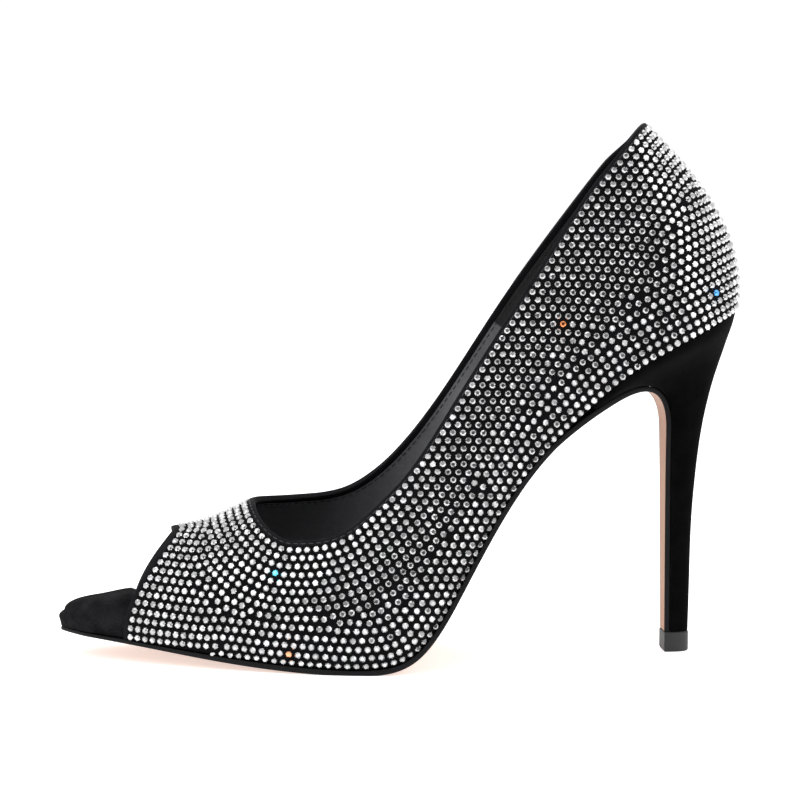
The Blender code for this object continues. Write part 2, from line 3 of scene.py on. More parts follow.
import bmesh
import bpy
import numpy as np
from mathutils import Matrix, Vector


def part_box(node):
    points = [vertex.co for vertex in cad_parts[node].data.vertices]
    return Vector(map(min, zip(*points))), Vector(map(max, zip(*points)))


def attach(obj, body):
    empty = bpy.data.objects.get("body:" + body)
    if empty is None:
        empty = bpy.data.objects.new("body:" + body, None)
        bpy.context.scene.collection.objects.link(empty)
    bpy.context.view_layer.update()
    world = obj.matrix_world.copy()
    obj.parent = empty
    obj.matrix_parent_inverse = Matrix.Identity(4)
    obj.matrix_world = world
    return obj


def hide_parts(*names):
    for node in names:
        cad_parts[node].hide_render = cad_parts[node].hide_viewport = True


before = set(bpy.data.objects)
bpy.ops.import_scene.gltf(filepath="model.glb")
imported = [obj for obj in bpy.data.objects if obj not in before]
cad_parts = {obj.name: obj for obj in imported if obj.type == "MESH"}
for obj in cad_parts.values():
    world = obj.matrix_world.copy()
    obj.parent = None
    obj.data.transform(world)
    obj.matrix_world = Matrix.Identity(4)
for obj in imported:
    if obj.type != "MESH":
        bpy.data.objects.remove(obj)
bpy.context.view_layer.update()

print("frame loaded:", ", ".join(sorted(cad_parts)))

# Metres everywhere. The toe points to -X, the outer side of this left shoe is -Y.
# u is a column number along the shoe: the share of the sole length, running on round both ends.
# level climbs a wall section from 0 at the feather line to 1 at the crest over the foot.
last = {
    "soleLength": 0.2054,
    "ballWidth": 0.077,
    "heelHeight": 0.1051,
    "toplineHeight": 0.1606,
    "wall": 0.0017,
    "seam": 0.0003,
    "roll": 0.0012,
    "rollLevel": 0.07,
    "easeLevel": 0.3,
    "crestSpan": (0.105, 0.99),
    "padNose": 0.000244,
    "toeRound": 0.045,
    "peepFoot": 0.098,
    "throatFoot": 0.260,
    "throatTurnLateral": 0.069,
    "throatTurnMedial": 0.122,
    "vampEnd": 0.41,
    "seatCentre": 0.886,
    "backSwell": 0.0690,
    "backShoulder": 0.0420,
}
step = 1e-4


def columns(names, rows):
    made = dict(zip(names.split(), np.array(rows, float).T))
    made["bends"] = {}
    return made


# rise: share of the heel height; lateral and medial: half widths as shares of the ball width;
# thickness and roll: of the outsole and of the upper's curl under itself, as shares
soleTable = columns("along rise lateral medial thickness roll", (
    (0.000, 0.0809, 0.010, 0.110, 0.62, 0.0),
    (0.045, 0.0755, 0.095, 0.195, 0.66, 0.0),
    (0.120, 0.0636, 0.215, 0.275, 0.69, 0.6),
    (0.210, 0.0452, 0.330, 0.380, 0.85, 1.0),
    (0.310, 0.0265, 0.430, 0.470, 0.96, 1.0),
    (0.400, 0.0169, 0.495, 0.500, 1.00, 1.0),
    (0.465, 0.0195, 0.515, 0.465, 1.00, 1.0),
    (0.516, 0.0580, 0.500, 0.400, 0.95, 1.0),
    (0.550, 0.1365, 0.470, 0.340, 0.90, 1.0),
    (0.584, 0.2493, 0.430, 0.290, 0.90, 1.0),
    (0.633, 0.4158, 0.385, 0.240, 0.90, 0.9),
    (0.686, 0.5633, 0.350, 0.225, 0.90, 0.6),
    (0.750, 0.6903, 0.328, 0.240, 0.90, 0.3),
    (0.820, 0.8078, 0.320, 0.285, 0.90, 0.1),
    (0.886, 0.8858, 0.318, 0.318, 0.90, 0.0),
    (1.000, 1.0000, 0.318, 0.318, 0.90, 0.0),
))
# the crest's place, the fullness of each section, and the level at which the topline cuts it
wallNames = (
    "along crestAlong crestRise crown swellLateral swellMedial shoulder lift sweep drop"
    " cutLateral cutMedial"
)
wallTable = columns(wallNames, (
    (0.098, 0.1650, 0.2423, 0.15, 0.030, 0.020, 0.150, 0.55, 0.37, 0.00, 0.54, 0.65),
    (0.195, 0.2340, 0.2630, 0.15, 0.030, 0.020, 0.220, 0.55, 0.22, 0.00, 0.54, 0.65),
    (0.273, 0.2980, 0.3009, 0.15, 0.030, 0.020, 0.260, 0.52, 0.08, 0.00, 0.55, 0.67),
    (0.341, 0.3650, 0.3347, 0.15, 0.030, 0.020, 0.240, 0.50, 0.00, 0.05, 0.525, 0.68),
    (0.409, 0.4190, 0.3776, 0.15, 0.030, 0.025, 0.200, 0.48, 0.00, 0.10, 0.522, 0.635),
    (0.472, 0.4625, 0.4334, 0.20, 0.030, 0.030, 0.150, 0.46, 0.00, 0.15, 0.580, 0.635),
    (0.526, 0.5015, 0.4956, 0.23, 0.030, 0.040, 0.120, 0.44, 0.00, 0.20, 0.618, 0.655),
    (0.604, 0.5700, 0.6197, 0.25, 0.030, 0.060, 0.090, 0.42, 0.00, 0.25, 0.655, 0.655),
    (0.701, 0.6670, 0.7741, 0.25, 0.030, 0.060, 0.060, 0.40, 0.00, 0.28, 0.740, 0.745),
    (0.818, 0.7640, 0.9076, 0.24, 0.030, 0.040, 0.050, 0.38, 0.00, 0.28, 0.892, 0.850),
    (0.886, 0.8130, 0.9634, 0.23, 0.030, 0.030, 0.050, 0.38, 0.00, 0.28, 0.948, 0.915),
    (0.945, 0.8400, 0.9870, 0.225, 0.030, 0.030, 0.050, 0.38, 0.00, 0.282, 0.990, 0.950),
    (1.000, 0.8605, 1.0000, 0.22, 0.030, 0.030, 0.050, 0.38, 0.00, 0.284, 1.00, 1.00),
))

backColumn = last["seatCentre"] + (1 - last["seatCentre"]) * np.pi / 2
tipColumn = last["toeRound"] * (1 - np.pi / 2)
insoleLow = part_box("insole")[0]
tipLow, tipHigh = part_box("heel_tip")
origin = np.array([insoleLow.x + last["padNose"], (tipLow.y + tipHigh.y) / 2, 0.0])


# A natural cubic spline through one column of a table, level beyond its ends
def spline(curve, name, at, knotName="along"):
    knots, values = curve[knotName], curve[name]
    gap = np.diff(knots)
    if name not in curve["bends"]:
        slope = np.diff(values) / gap
        system, right = np.eye(len(knots)), np.zeros(len(knots))
        for i in range(1, len(knots) - 1):
            system[i, i - 1 : i + 2] = gap[i - 1], 2 * (gap[i - 1] + gap[i]), gap[i]
            right[i] = 6 * (slope[i] - slope[i - 1])
        curve["bends"][name] = np.linalg.solve(system, right)
    bend = curve["bends"][name]
    at = np.clip(at, knots[0], knots[-1])
    i = np.clip(np.searchsorted(knots, at) - 1, 0, len(knots) - 2)
    a = (knots[i + 1] - at) / gap[i]
    b = 1 - a
    curl = ((a**3 - a) * bend[i] + (b**3 - b) * bend[i + 1]) * gap[i] ** 2 / 6
    return a * values[i] + b * values[i + 1] + curl


def sideName(side):
    return "Lateral" if side < 0 else "Medial"


def unit(vectors):
    return vectors / np.linalg.norm(vectors, axis=-1, keepdims=True)


# A share from 0 to 1, eased at both ends
def smooth(share):
    return share * share * (3 - 2 * share)


# Distance run along a line of points up to each of them
def runAlong(line):
    return np.concatenate([[0], np.cumsum(np.linalg.norm(np.diff(line, axis=0), axis=1))])


# Place along the sole and angle round its ends: level u in the middle, a sine of the angle at
# the toe and the seat, so that columns keep an even pace round both
def station(u):
    toe = np.clip((last["toeRound"] - u) / last["toeRound"], 0, np.pi / 2)
    seat = np.clip((u - last["seatCentre"]) / (1 - last["seatCentre"]), 0, np.pi)
    along = np.clip(u, last["toeRound"], last["seatCentre"])
    along = along - last["toeRound"] * np.sin(toe) + (1 - last["seatCentre"]) * np.sin(seat)
    return along, toe + seat


# Feather line: x and z from the sole table, y = middle plus half width times the cosine of the turn
def foot(u, side):
    along, turn = station(u)
    lateral, medial = spline(soleTable, "lateral", along), spline(soleTable, "medial", along)
    y = last["ballWidth"] * ((medial - lateral) + side * (medial + lateral) * np.cos(turn)) / 2
    z = last["heelHeight"] * spline(soleTable, "rise", along)
    return np.stack([last["soleLength"] * along, y, z], -1)


# Normal of the sole in side view, from the slope of the feather line
def soleUp(u):
    along = np.clip(station(u)[0], step, 1 - step)
    rise = spline(soleTable, "rise", np.stack([along - step, along + step]))
    slope = (rise[1] - rise[0]) * last["heelHeight"] / (2 * step * last["soleLength"])
    return unit(np.stack([-slope, 0 * slope, 1 + 0 * slope], -1))


# Normal of the outline in the plane of the sole
def soleOut(u, side):
    return unit(-side * np.cross(foot(u + step, side) - foot(u - step, side), soleUp(u)))


def crestLine(along):
    x = last["soleLength"] * spline(wallTable, "crestAlong", along)
    return x, last["toplineHeight"] * spline(wallTable, "crestRise", along)


# The last's surface: on each section a cubic Bezier from the feather line to the crest, whose
# handles carry the swell low down and the shoulder high up; at its foot it curls in by the
# square of what is left of the lowest levels
def wall(u, side, level):
    along, turn = station(u)
    value = {name: spline(wallTable, name, along) for name in wallNames.split()[3:]}
    around, across = np.sin(turn), np.cos(turn)
    upright = (last["vampEnd"] - along) / (last["vampEnd"] - last["throatFoot"])
    upright = smooth(np.clip(upright, 0, 1))
    bottom = foot(u, side)
    crestX, crestZ = crestLine(along)
    crown = side * last["ballWidth"] * value["crown"] * (1 - upright) * across
    crest = np.stack([crestX, crown, crestZ], -1)
    lean = (crest - bottom) * (1, 0, 1)
    first = bottom + value["lift"][..., None] * lean
    first[..., 0] -= value["lift"] * lean[..., 0] * upright
    first[..., 0] += last["soleLength"] * last["backSwell"] * around
    first[..., 1] += side * last["ballWidth"] * value["swell" + sideName(side)] * across
    inside = np.clip(along, *last["crestSpan"])
    ahead, here = np.array(crestLine(inside + step)), np.array(crestLine(inside))
    slope = (ahead[1] - here[1]) / (ahead[0] - here[0])
    sweep = value["sweep"] * lean[..., 0]
    second = crest - value["drop"][..., None] * lean
    second[..., 0] += sweep + last["soleLength"] * last["backShoulder"] * around
    second[..., 1] += side * last["ballWidth"] * value["shoulder"] * across
    second[..., 2] += sweep * slope
    v = level[..., None]
    w = 1 - v
    section = w**3 * bottom + 3 * w * w * v * first + 3 * w * v * v * second + v**3 * crest
    roll = last["roll"] * spline(soleTable, "roll", along)
    curl = roll * np.clip(1 - level / last["rollLevel"], 0, 1) ** 2
    return section - curl[..., None] * soleOut(u, side)


# Normal of that surface, eased over its lowest third to lie in the plane of the sole
def outward(u, side, level):
    before = wall(np.maximum(u - step, last["peepFoot"]), side, level)
    after = wall(u + step, side, level)
    below = wall(u, side, np.clip(level - step, 0, 1))
    above = wall(u, side, np.clip(level + step, 0, 1))
    normal = unit(-side * np.cross(after - before, above - below))
    up = soleUp(u)
    flat = normal - (normal * up).sum(-1, keepdims=True) * up
    flat = flat / (flat * flat).sum(-1, keepdims=True)
    ease = np.clip(1 - level / last["easeLevel"], 0, 1)[..., None] ** 2
    return normal + ease * (flat - normal)


def cutLevel(u, side):
    return spline(wallTable, "cut" + sideName(side), station(u)[0])


# Length on the wall, square to the topline, that one whole level would cover
def edgeStretch(u, side):
    cut = cutLevel(u, side)
    column = (wall(u, side, cut) - wall(u, side, cut - step)) / step
    ahead = wall(u + step, side, cutLevel(u + step, side))
    behind = wall(u - step, side, cutLevel(u - step, side))
    return np.linalg.norm(np.cross(column, unit(ahead - behind)), axis=-1)


# A line this far inside the topline, from throat to back: a quarter turn round the throat's
# corner in columns and levels, then the cut levels less the inset
def topline(side, inset, corner=24, middle=90, back=24):
    turn = last["throatTurn" + sideName(side)]
    throat, crest = np.array([last["throatFoot"]]), np.array([1.0])
    stretch = np.linalg.norm(wall(throat + step, side, crest) - wall(throat, side, crest)) / step
    start = last["throatFoot"] - inset / stretch
    centre = last["throatFoot"] + turn
    angle = np.linspace(0, np.pi / 2, corner + 1)
    u = np.concatenate([
        centre - (centre - start) * np.cos(angle),
        np.linspace(centre, last["seatCentre"], middle + 1)[1:],
        np.linspace(last["seatCentre"], backColumn, back + 1)[1:],
    ])
    share = np.ones(len(u))
    share[: corner + 1] = np.sin(angle)
    return u, 1 - (1 - cutLevel(u, side) + inset / edgeStretch(u, side)) * share


# Level at which the topline cuts each column, the quarter turn at the throat included
def edgeLevel(u, side):
    turn = last["throatTurn" + sideName(side)]
    share = np.clip((last["throatFoot"] + turn - u) / turn, 0, 1)
    return 1 - (1 - cutLevel(u, side)) * np.sqrt(1 - share**2)


# Column numbers, level by level, of a line this far behind the peep edge
def peepLine(side, inset, level):
    u = np.full(len(level), last["peepFoot"])
    along = (wall(u + step, side, level) - wall(u, side, level)) / step
    above = wall(u, side, np.clip(level + step, 0, 1))
    below = wall(u, side, np.clip(level - step, 0, 1))
    return u + inset / np.linalg.norm(np.cross(along, unit(above - below)), axis=-1)


# Quads of a grid of points numbered row by row
def gridFaces(rows, count, start=0):
    i, j = np.meshgrid(np.arange(rows - 1), np.arange(count - 1), indexing="ij")
    a = (start + i * count + j).ravel()
    return np.stack([a, a + 1, a + count + 1, a + count], -1)


# A closed body through rings of points, its two end rings filled with a ladder of quads
def loft(rings):
    count, size = rings.shape[:2]
    looped = np.concatenate([rings, rings[:, :1]], axis=1)
    j = np.arange(size // 2 - (size % 2 == 0))
    ends = []
    for first in (0, (count - 1) * (size + 1)):
        near, far = first + j, first + size - 1 - j
        ends.append(np.stack([near, near + 1, far - 1, far], -1))
    return looped.reshape(-1, 3), np.concatenate([gridFaces(count, size + 1), *ends])


def addObject(name, data):
    made = bpy.data.objects.new(name, data)
    bpy.context.scene.collection.objects.link(made)
    return made


# Piece from points and quads: doubles merged, faces turned outwards, smooth up to an angle
def addPiece(name, points, faces, materials, slot, replaced=(), faceMaterial=None, sharp=50):
    mesh = bpy.data.meshes.new(name)
    mesh.from_pydata((points + origin).tolist(), [], faces.tolist())
    for material in materials:
        mesh.materials.append(material)
    if faceMaterial is not None:
        mesh.polygons.foreach_set("material_index", faceMaterial.astype(np.int32))
    body = bmesh.new()
    body.from_mesh(mesh)
    bmesh.ops.remove_doubles(body, verts=body.verts, dist=2e-6)
    bmesh.ops.dissolve_degenerate(body, edges=body.edges, dist=1e-7)
    bmesh.ops.recalc_face_normals(body, faces=body.faces)
    if body.calc_volume(signed=True) < 0:
        bmesh.ops.reverse_faces(body, faces=body.faces)
    body.to_mesh(mesh)
    body.free()
    mesh.shade_smooth()
    mesh.set_sharp_from_angle(angle=math.radians(sharp))
    piece = addObject(name, mesh)
    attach(piece, "root")
    if replaced:
        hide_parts(*replaced)
    print("piece", name, len(mesh.polygons), "faces")


# sRGB hex to linear
def linear(hexCode):
    channel = [int(hexCode[i : i + 2], 16) / 255 for i in (0, 2, 4)]
    return (*[c / 12.92 if c <= 0.04045 else ((c + 0.055) / 1.055) ** 2.4 for c in channel], 1)


# Adds a node, sets its properties and its inputs, and links the inputs that are given sockets
def addNode(tree, kind, inputs=None, **settings):
    made = tree.nodes.new(kind)
    for name, value in settings.items():
        setattr(made, name, value)
    for name, value in (inputs or {}).items():
        if isinstance(value, bpy.types.NodeSocket):
            tree.links.new(value, made.inputs[name])
        else:
            made.inputs[name].default_value = value
    return made


def newMaterial(name, **inputs):
    material = bpy.data.materials.new(name)
    material.use_nodes = True
    tree = material.node_tree
    shader = tree.nodes["Principled BSDF"]
    for key, value in inputs.items():
        shader.inputs[key.replace("_", " ")].default_value = value
    return material, tree, shader


def objectPlace(tree):
    return addNode(tree, "ShaderNodeTexCoord").outputs["Object"]


def addRamp(tree, factor, places, colours):
    ramp = addNode(tree, "ShaderNodeValToRGB", {"Fac": factor})
    for element, place, colour in zip(ramp.color_ramp.elements, places, colours):
        element.position, element.color = place, colour
    return ramp.outputs["Color"]


# Two colours mixed by a noise of this grain and patches of that size, and a bump of the grain
def grainy(tree, shader, dark, light, grain, patch, depth):
    place = objectPlace(tree)
    fine = addNode(tree, "ShaderNodeTexNoise", {
        "Vector": place, "Scale": 1 / grain, "Detail": 3.0, "Roughness": 0.6,
    })
    broad = addNode(tree, "ShaderNodeTexNoise", {
        "Vector": place, "Scale": 1 / patch, "Detail": 2.0,
    })
    both = addNode(tree, "ShaderNodeMix", {
        "Factor": 0.5, "A": fine.outputs["Fac"], "B": broad.outputs["Fac"],
    })
    colour = addRamp(tree, both.outputs["Result"], (0.35, 0.65), (linear(dark), linear(light)))
    bump = addNode(tree, "ShaderNodeBump", {
        "Height": fine.outputs["Fac"], "Distance": depth, "Strength": 1.0,
    })
    tree.links.new(colour, shader.inputs["Base Color"])
    tree.links.new(bump.outputs["Normal"], shader.inputs["Normal"])
    return colour


# A material that is one grain and nothing else
def grained(name, dark, light, grain, patch, depth, **inputs):
    material, tree, shader = newMaterial(name, **inputs)
    grainy(tree, shader, dark, light, grain, patch, depth)
    return material


# Coated synthetic lining: charcoal, satin, pressed with a fine pigskin grain of about 0.7 mm.
# Behind the seam that crosses it the heel grip is a darker, matt suede.
def makeLining():
    grip = {"normal": (0.62, 0.0, 0.78), "distance": 0.0968, "stitch": 0.0006}
    satin, matt = 0.42, 0.85
    material, tree, shader = newMaterial("coated_lining", Roughness=satin)
    coat = grainy(tree, shader, "5A5A5D", "6C6C70", grain=0.0007, patch=0.012, depth=0.00004)
    seam = addNode(tree, "ShaderNodeVectorMath", {
        0: objectPlace(tree), 1: grip["normal"],
    }, operation="DOT_PRODUCT")
    behind = addNode(tree, "ShaderNodeMapRange", {
        "Value": seam.outputs["Value"],
        "From Min": grip["distance"], "From Max": grip["distance"] + grip["stitch"],
    }).outputs["Result"]
    colour = addNode(
        tree, "ShaderNodeMix", {"Factor": behind, 6: coat, 7: linear("1C1C1E")}, data_type="RGBA",
    )
    tree.links.new(colour.outputs[2], shader.inputs["Base Color"])
    rough = addNode(tree, "ShaderNodeMapRange", {"Value": behind, "To Min": satin, "To Max": matt})
    tree.links.new(rough.outputs["Result"], shader.inputs["Roughness"])
    return material


# Foil-backed cut glass: the silver foil shows white through the facets, the glass front adds a
# sharp clear reflection. The piece's own attribute carries each stone's random tone, and on a few
# stones a painted glint of coloured fire.
def makeFoiledGlass():
    material, tree, shader = newMaterial(
        "foiled_glass", Metallic=1.0, Roughness=0.16, Coat_Weight=1.0, Coat_Roughness=0.03,
    )
    tone = addNode(tree, "ShaderNodeAttribute", attribute_name="stoneToneAndPaintedGlint")
    tree.links.new(tone.outputs["Color"], shader.inputs["Base Color"])
    return material


# Polyester microsuede with a short brushed nap: matt black, a little light in the pile
microsuede = grained(
    "microsuede_black", "050506", "0F0F11", grain=0.0005, patch=0.006, depth=0.00008,
    Roughness=0.92, Sheen_Weight=0.015, Sheen_Roughness=0.45, Specular_IOR_Level=0.06,
)
# The same cloth turned over the edge and pressed: tighter pile, so slightly lighter and smoother
turnedEdge = grained(
    "microsuede_turned_edge", "08080A", "151518", grain=0.00045, patch=0.004, depth=0.00009,
    Roughness=0.78, Sheen_Weight=0.015, Sheen_Roughness=0.4, Specular_IOR_Level=0.10,
)
# Kid suede: deep matt black with a longer nap and soft brushed patches. Two copies of the same
# suede, told apart only by painted light and shade: the insole's is painted lighter, the heel's
# painted darker.
heelSuedePaintedShade, insoleSuedePaintedLight = [
    grained(
        name, dark, light, grain=0.0004, patch=0.005, depth=0.0001,
        Roughness=0.96, Sheen_Weight=0.01, Sheen_Roughness=0.5, Specular_IOR_Level=0.03,
    )
    for name, dark, light in (
        ("kid_suede_heel_painted_shade", "020202", "080809"), ("kid_suede_insole_painted_light", "0B0B0C", "222224"),
    )
]
lining = makeLining()
# Finished sole leather dyed nude: smooth, a thin resin coat, faint pores and darker scuffs
soleLeather = grained(
    "sole_leather_nude", "9A6840", "AC784E", grain=0.0009, patch=0.02, depth=0.00002,
    Roughness=0.5, Coat_Weight=0.08, Coat_Roughness=0.3, Specular_IOR_Level=0.3,
)
# Black edge ink brushed on the sole's trimmed edge: satin, slightly uneven
edgeInk = grained(
    "edge_ink_black", "070708", "101013", grain=0.0012, patch=0.01, depth=0.00003,
    Roughness=0.6, Specular_IOR_Level=0.15,
)
# Moulded polyurethane top piece: charcoal, matt from the mould, fine pitting
topPiece = grained(
    "moulded_polyurethane", "121213", "1A1A1B", 0.0006, 0.004, 0.00003, Roughness=0.55,
)
# Bonded polyester thread, black, with a slight gloss from its wax
thread = grained("polyester_thread", "0E0E10", "2A2A2D", 0.0003, 0.002, 0.00003, Roughness=0.5)
foiledGlass = makeFoiledGlass()
print("materials made")

upperCut = {
    "band": 0.0020, "peepBand": 0.0018, "raise": 0.0002, "under": 0.0006, "fabric": 0.0011,
    "curl": 6, "levels": 44, "vamp": 26,
}


# Levels of the wall's lines, closer together where it curls in
def wallLevels():
    curled = np.linspace(0, last["rollLevel"], upperCut["curl"] + 1)[:-1]
    return np.concatenate([curled, np.linspace(last["rollLevel"], 1, upperCut["levels"] + 1)])


# Half of the upper as a grid: columns from the peep to the throat, then along the topline, each
# running from the feather line to just under the band, pushed in along the normal by a depth
def upperSheet(side, depth):
    edgeU, topLevel = topline(side, upperCut["band"] - upperCut["under"])
    level = wallLevels()
    front = peepLine(side, upperCut["peepBand"] - upperCut["under"], level)
    share = np.linspace(0, 1, upperCut["vamp"] + 1)[:-1, None]
    u = np.concatenate([
        front + (edgeU[0] - front) * share,
        np.repeat(edgeU[:, None], len(level), 1),
    ])
    v = np.concatenate([
        np.repeat(level[None], upperCut["vamp"], 0),
        topLevel[:, None] * level,
    ])
    sheet = wall(u, side, v) - depth * outward(u, side, v)
    sheet[: upperCut["vamp"] + 1, -1, 1] = 0
    return sheet


# Both halves between two depths, with rims at the bottom, the peep and the topline
def upperShell(name, outer, inner, material, slot, replaced=()):
    sheets = [upperSheet(side, depth) for side in (-1, 1) for depth in (outer, inner)]
    rows, count = sheets[0].shape[:2]
    size = rows * count
    faces = [gridFaces(rows, count, k * size) for k in range(4)]
    for half in (0, 2):
        bottom = np.arange(rows) * count
        front = np.arange(count)
        top = np.arange(upperCut["vamp"], rows) * count + count - 1
        for line in (bottom, front, top):
            a, b = line[:-1] + half * size, line[1:] + half * size
            faces.append(np.stack([a, b, b + size, a + size], -1))
    points = np.concatenate([sheet.reshape(-1, 3) for sheet in sheets])
    addPiece(name, points, np.concatenate(faces), [material], slot, replaced)


upperShell("upper_fabric", 0, upperCut["fabric"], microsuede, "crystal_fabric", ["upper"])
upperShell("upper_lining", upperCut["fabric"] + 0.00005, last["wall"], lining, "crystal_fabric")


# Closed profile of a turned edge, a superellipse of power 5: inset from the edge and depth
def bandProfile(width, count=28, power=5):
    angle = np.linspace(0, 2 * np.pi, count, endpoint=False)
    c, s = np.cos(angle), np.sin(angle)
    inset = width / 2 * (1 - np.sign(c) * np.abs(c) ** (2 / power))
    half = last["wall"] / 2 + upperCut["raise"]
    depth = last["wall"] / 2 - half * np.sign(s) * np.abs(s) ** (2 / power)
    return inset, depth


# Both halves of a band: each point of the profile carried along its own line of the surface
def bandHalves(width, lineAt):
    halves = []
    for side in (-1, 1):
        lines = []
        for inset, depth in zip(*bandProfile(width)):
            u, level = lineAt(side, inset)
            lines.append(wall(u, side, level) - depth * outward(u, side, level))
        halves.append(np.stack(lines, 1))
    return halves


# A closed ring round the topline
def addToplineBand():
    lateral, medial = bandHalves(upperCut["band"], topline)
    around = np.concatenate([lateral, medial[-2:0:-1], lateral[:1]])
    looped = np.concatenate([around, around[:, :1]], axis=1)
    points, faces = looped.reshape(-1, 3), gridFaces(*looped.shape[:2])
    addPiece("topline_edge", points, faces, [turnedEdge], "binding", ["topline_binding"])


# Over the vamp along the peep edge, from one feather line to the other
def addPeepBand():
    level = wallLevels()
    lateral, medial = bandHalves(
        upperCut["peepBand"], lambda side, inset: (peepLine(side, inset, level), level)
    )
    rings = np.concatenate([lateral, medial[-2::-1]])
    addPiece("peep_edge", *loft(rings), [turnedEdge], "binding", ["peep_binding"])


addToplineBand()
addPeepBand()

pad = {
    "height": 0.0080, "footRound": 0.0003, "topRound": 0.0011, "noseRound": 0.0006,
    "noseDrop": 0.14, "domePower": 4, "lowShare": 0.35, "highShare": 0.5,
    "sides": 10, "dome": 26, "toe": 26, "peep": 12, "shoe": 110, "back": 24,
}
padTable = columns("along side crown", (
    (0.000, 0.72, 0.42),
    (0.045, 0.82, 0.36),
    (0.098, 1.02, 0.52),
    (0.200, 0.78, 0.36),
    (0.310, 0.46, 0.22),
    (0.450, 0.42, 0.12),
    (1.000, 0.42, 0.12),
))
# in the open toe: how far the side is drawn in at each share of its height
padSideTable = columns("height tuck", (
    (0.00, 0.0003),
    (0.35, -0.0002),
    (0.75, -0.0005),
    (1.00, 0.0004),
))


# Wrapped insole: its sides climb from the feather line, in the open toe square to the sole and
# behind it along the lining, and a dome joins them, flat in the middle
def addInsole():
    inner = last["wall"] + upperCut["raise"] + last["seam"]
    toeU = np.concatenate([
        np.linspace(tipColumn, last["toeRound"], pad["toe"] + 1),
        np.linspace(last["toeRound"], last["peepFoot"], pad["peep"] + 1)[1:-1],
    ])
    shoeU = np.concatenate([
        np.linspace(last["peepFoot"], last["seatCentre"], pad["shoe"] + 1),
        np.linspace(last["seatCentre"], backColumn, pad["back"] + 1)[1:],
    ])
    u = np.concatenate([toeU, shoeU])
    along, turn = station(u)
    up = soleUp(u)
    high = pad["height"] * spline(padTable, "side", along)
    crown = pad["height"] * spline(padTable, "crown", along) * np.cos(turn)
    count = len(toeU)
    high[:count] *= 1 - pad["noseDrop"] * np.sin(turn[:count]) ** 2
    toeInset = inner * np.clip(along[:count] / last["peepFoot"], 0, 1) ** 2
    zero = np.zeros(len(shoeU))
    halves = []
    for side in (-1, 1):
        climb = (wall(shoeU, side, zero + step) - wall(shoeU, side, zero)) / step
        climb = (climb * up[count:]).sum(-1)
        lines = []
        for share in np.linspace(0, 1, pad["sides"]):
            low = max(0, 1 - share / pad["lowShare"])
            top = max(0, (share - pad["highShare"]) / (1 - pad["highShare"]))
            tuck = pad["footRound"] * low**2 + pad["topRound"] * top**3
            bare = spline(padSideTable, "tuck", np.array(share), "height")
            bare = bare + pad["noseRound"] * top**2 * np.sin(turn[:count])
            inward = (toeInset + bare)[:, None] * soleOut(toeU, side)
            toe = foot(toeU, side) + share * high[:count, None] * up[:count] - inward
            level = share * high[count:] / climb
            shoe = wall(shoeU, side, level) - (inner + tuck) * outward(shoeU, side, level)
            lines.append(np.concatenate([toe, shoe]))
        halves.append(np.stack(lines, 1))
    lateral, medial = halves
    dome = []
    for share in np.linspace(0, 1, pad["dome"])[1:-1]:
        bulge = (1 - abs(2 * share - 1) ** pad["domePower"]) * crown
        dome.append(lateral[:, -1] * (1 - share) + medial[:, -1] * share + bulge[:, None] * up)
    rings = np.concatenate([lateral, np.stack(dome, 1), medial[:, ::-1]], axis=1)
    addPiece("insole_sock", *loft(rings), [insoleSuedePaintedLight], "suede", ["insole"])


addInsole()

heel = {
    "tipHeight": 0.0060, "tipOverhang": 0.0002, "lip": 0.36, "waistEnd": 0.712,
    "breastReach": 0.0296, "breastFall": 0.1456, "breastEase": 0.5, "breastTop": (0.9005, 0.648),
    "breastFoot": 0.9022, "roundness": 2.4, "settle": 1.15,
    "breastRings": 48, "shaftRings": 36, "seatPoints": 22, "backPoints": 25,
    "tipEdges": ((1, 0.00025), (0.96, 0), (0.06, 0), (0, 0.0003)),
}
outsole = {
    "thickness": 0.0016, "inset": 0.0004, "waistThin": 0.90,
    "edgeBulge": 0.00015, "bulges": ((0.12, 0.4), (0.35, 0.9), (0.6, 1.0), (0.85, 0.5)),
    "bottomRound": 0.0005, "roundings": (0.3, 1.6),
    "toe": 25, "shoe": 181, "breast": 61, "shaft": 31, "across": 9,
}
# half widths down the breast and the shaft, as shares of the ball width
breastTable = columns("down lateral medial", (
    (0.00, 0.334, 0.233),
    (0.25, 0.325, 0.245),
    (0.45, 0.285, 0.255),
    (0.60, 0.205, 0.200),
    (0.80, 0.130, 0.130),
    (1.00, 0.098, 0.098),
    (1.50, 0.072, 0.072),
    (2.00, 0.060, 0.060),
))
# outline of the heel's back: share of the heel height and of the sole length
heelBackTable = columns("rise along", (
    (0.0585, 0.9326),
    (0.1949, 0.9343),
    (0.3897, 0.9370),
    (0.5262, 0.9427),
    (0.6625, 0.9520),
    (0.7307, 0.9593),
    (0.8038, 0.9692),
    (0.8839, 0.9822),
    (0.9182, 0.9874),
    (0.9534, 0.9930),
    (1.0000, 0.9985),
))


# Side view of the heel breast: a cubic Bezier from the waist into the shaft for down 0 to 1,
# then a straight line to the top piece for 1 to 2, with its unit normal towards the heel
def breastPath(down):
    here = np.array([heel["waistEnd"]])
    ahead = soleUp(here)[0]
    start = (foot(here, -1)[0] - last["seam"] * ahead)[[0, 2]]
    size = np.array([last["soleLength"], last["heelHeight"]])
    top = size * heel["breastTop"]
    first = start + last["soleLength"] * heel["breastReach"] * np.array([ahead[2], -ahead[0]])
    second = top + (0, last["soleLength"] * heel["breastFall"])
    t = np.clip(down, 0, 1)[:, None]
    w = 1 - t
    curve = w**3 * start + 3 * w * w * t * first + 3 * w * t * t * second + t**3 * top
    pace = 3 * w * w * (first - start) + 6 * w * t * (second - first) + 3 * t * t * (top - second)
    low = np.array([last["soleLength"] * heel["breastFoot"], heel["tipHeight"] + last["seam"]])
    pace = unit(np.where(down[:, None] > 1, low - top, pace))
    shaft = np.clip(down - 1, 0, 1)[:, None]
    return curve + shaft * (low - top), np.stack([-pace[:, 1], pace[:, 0]], -1)


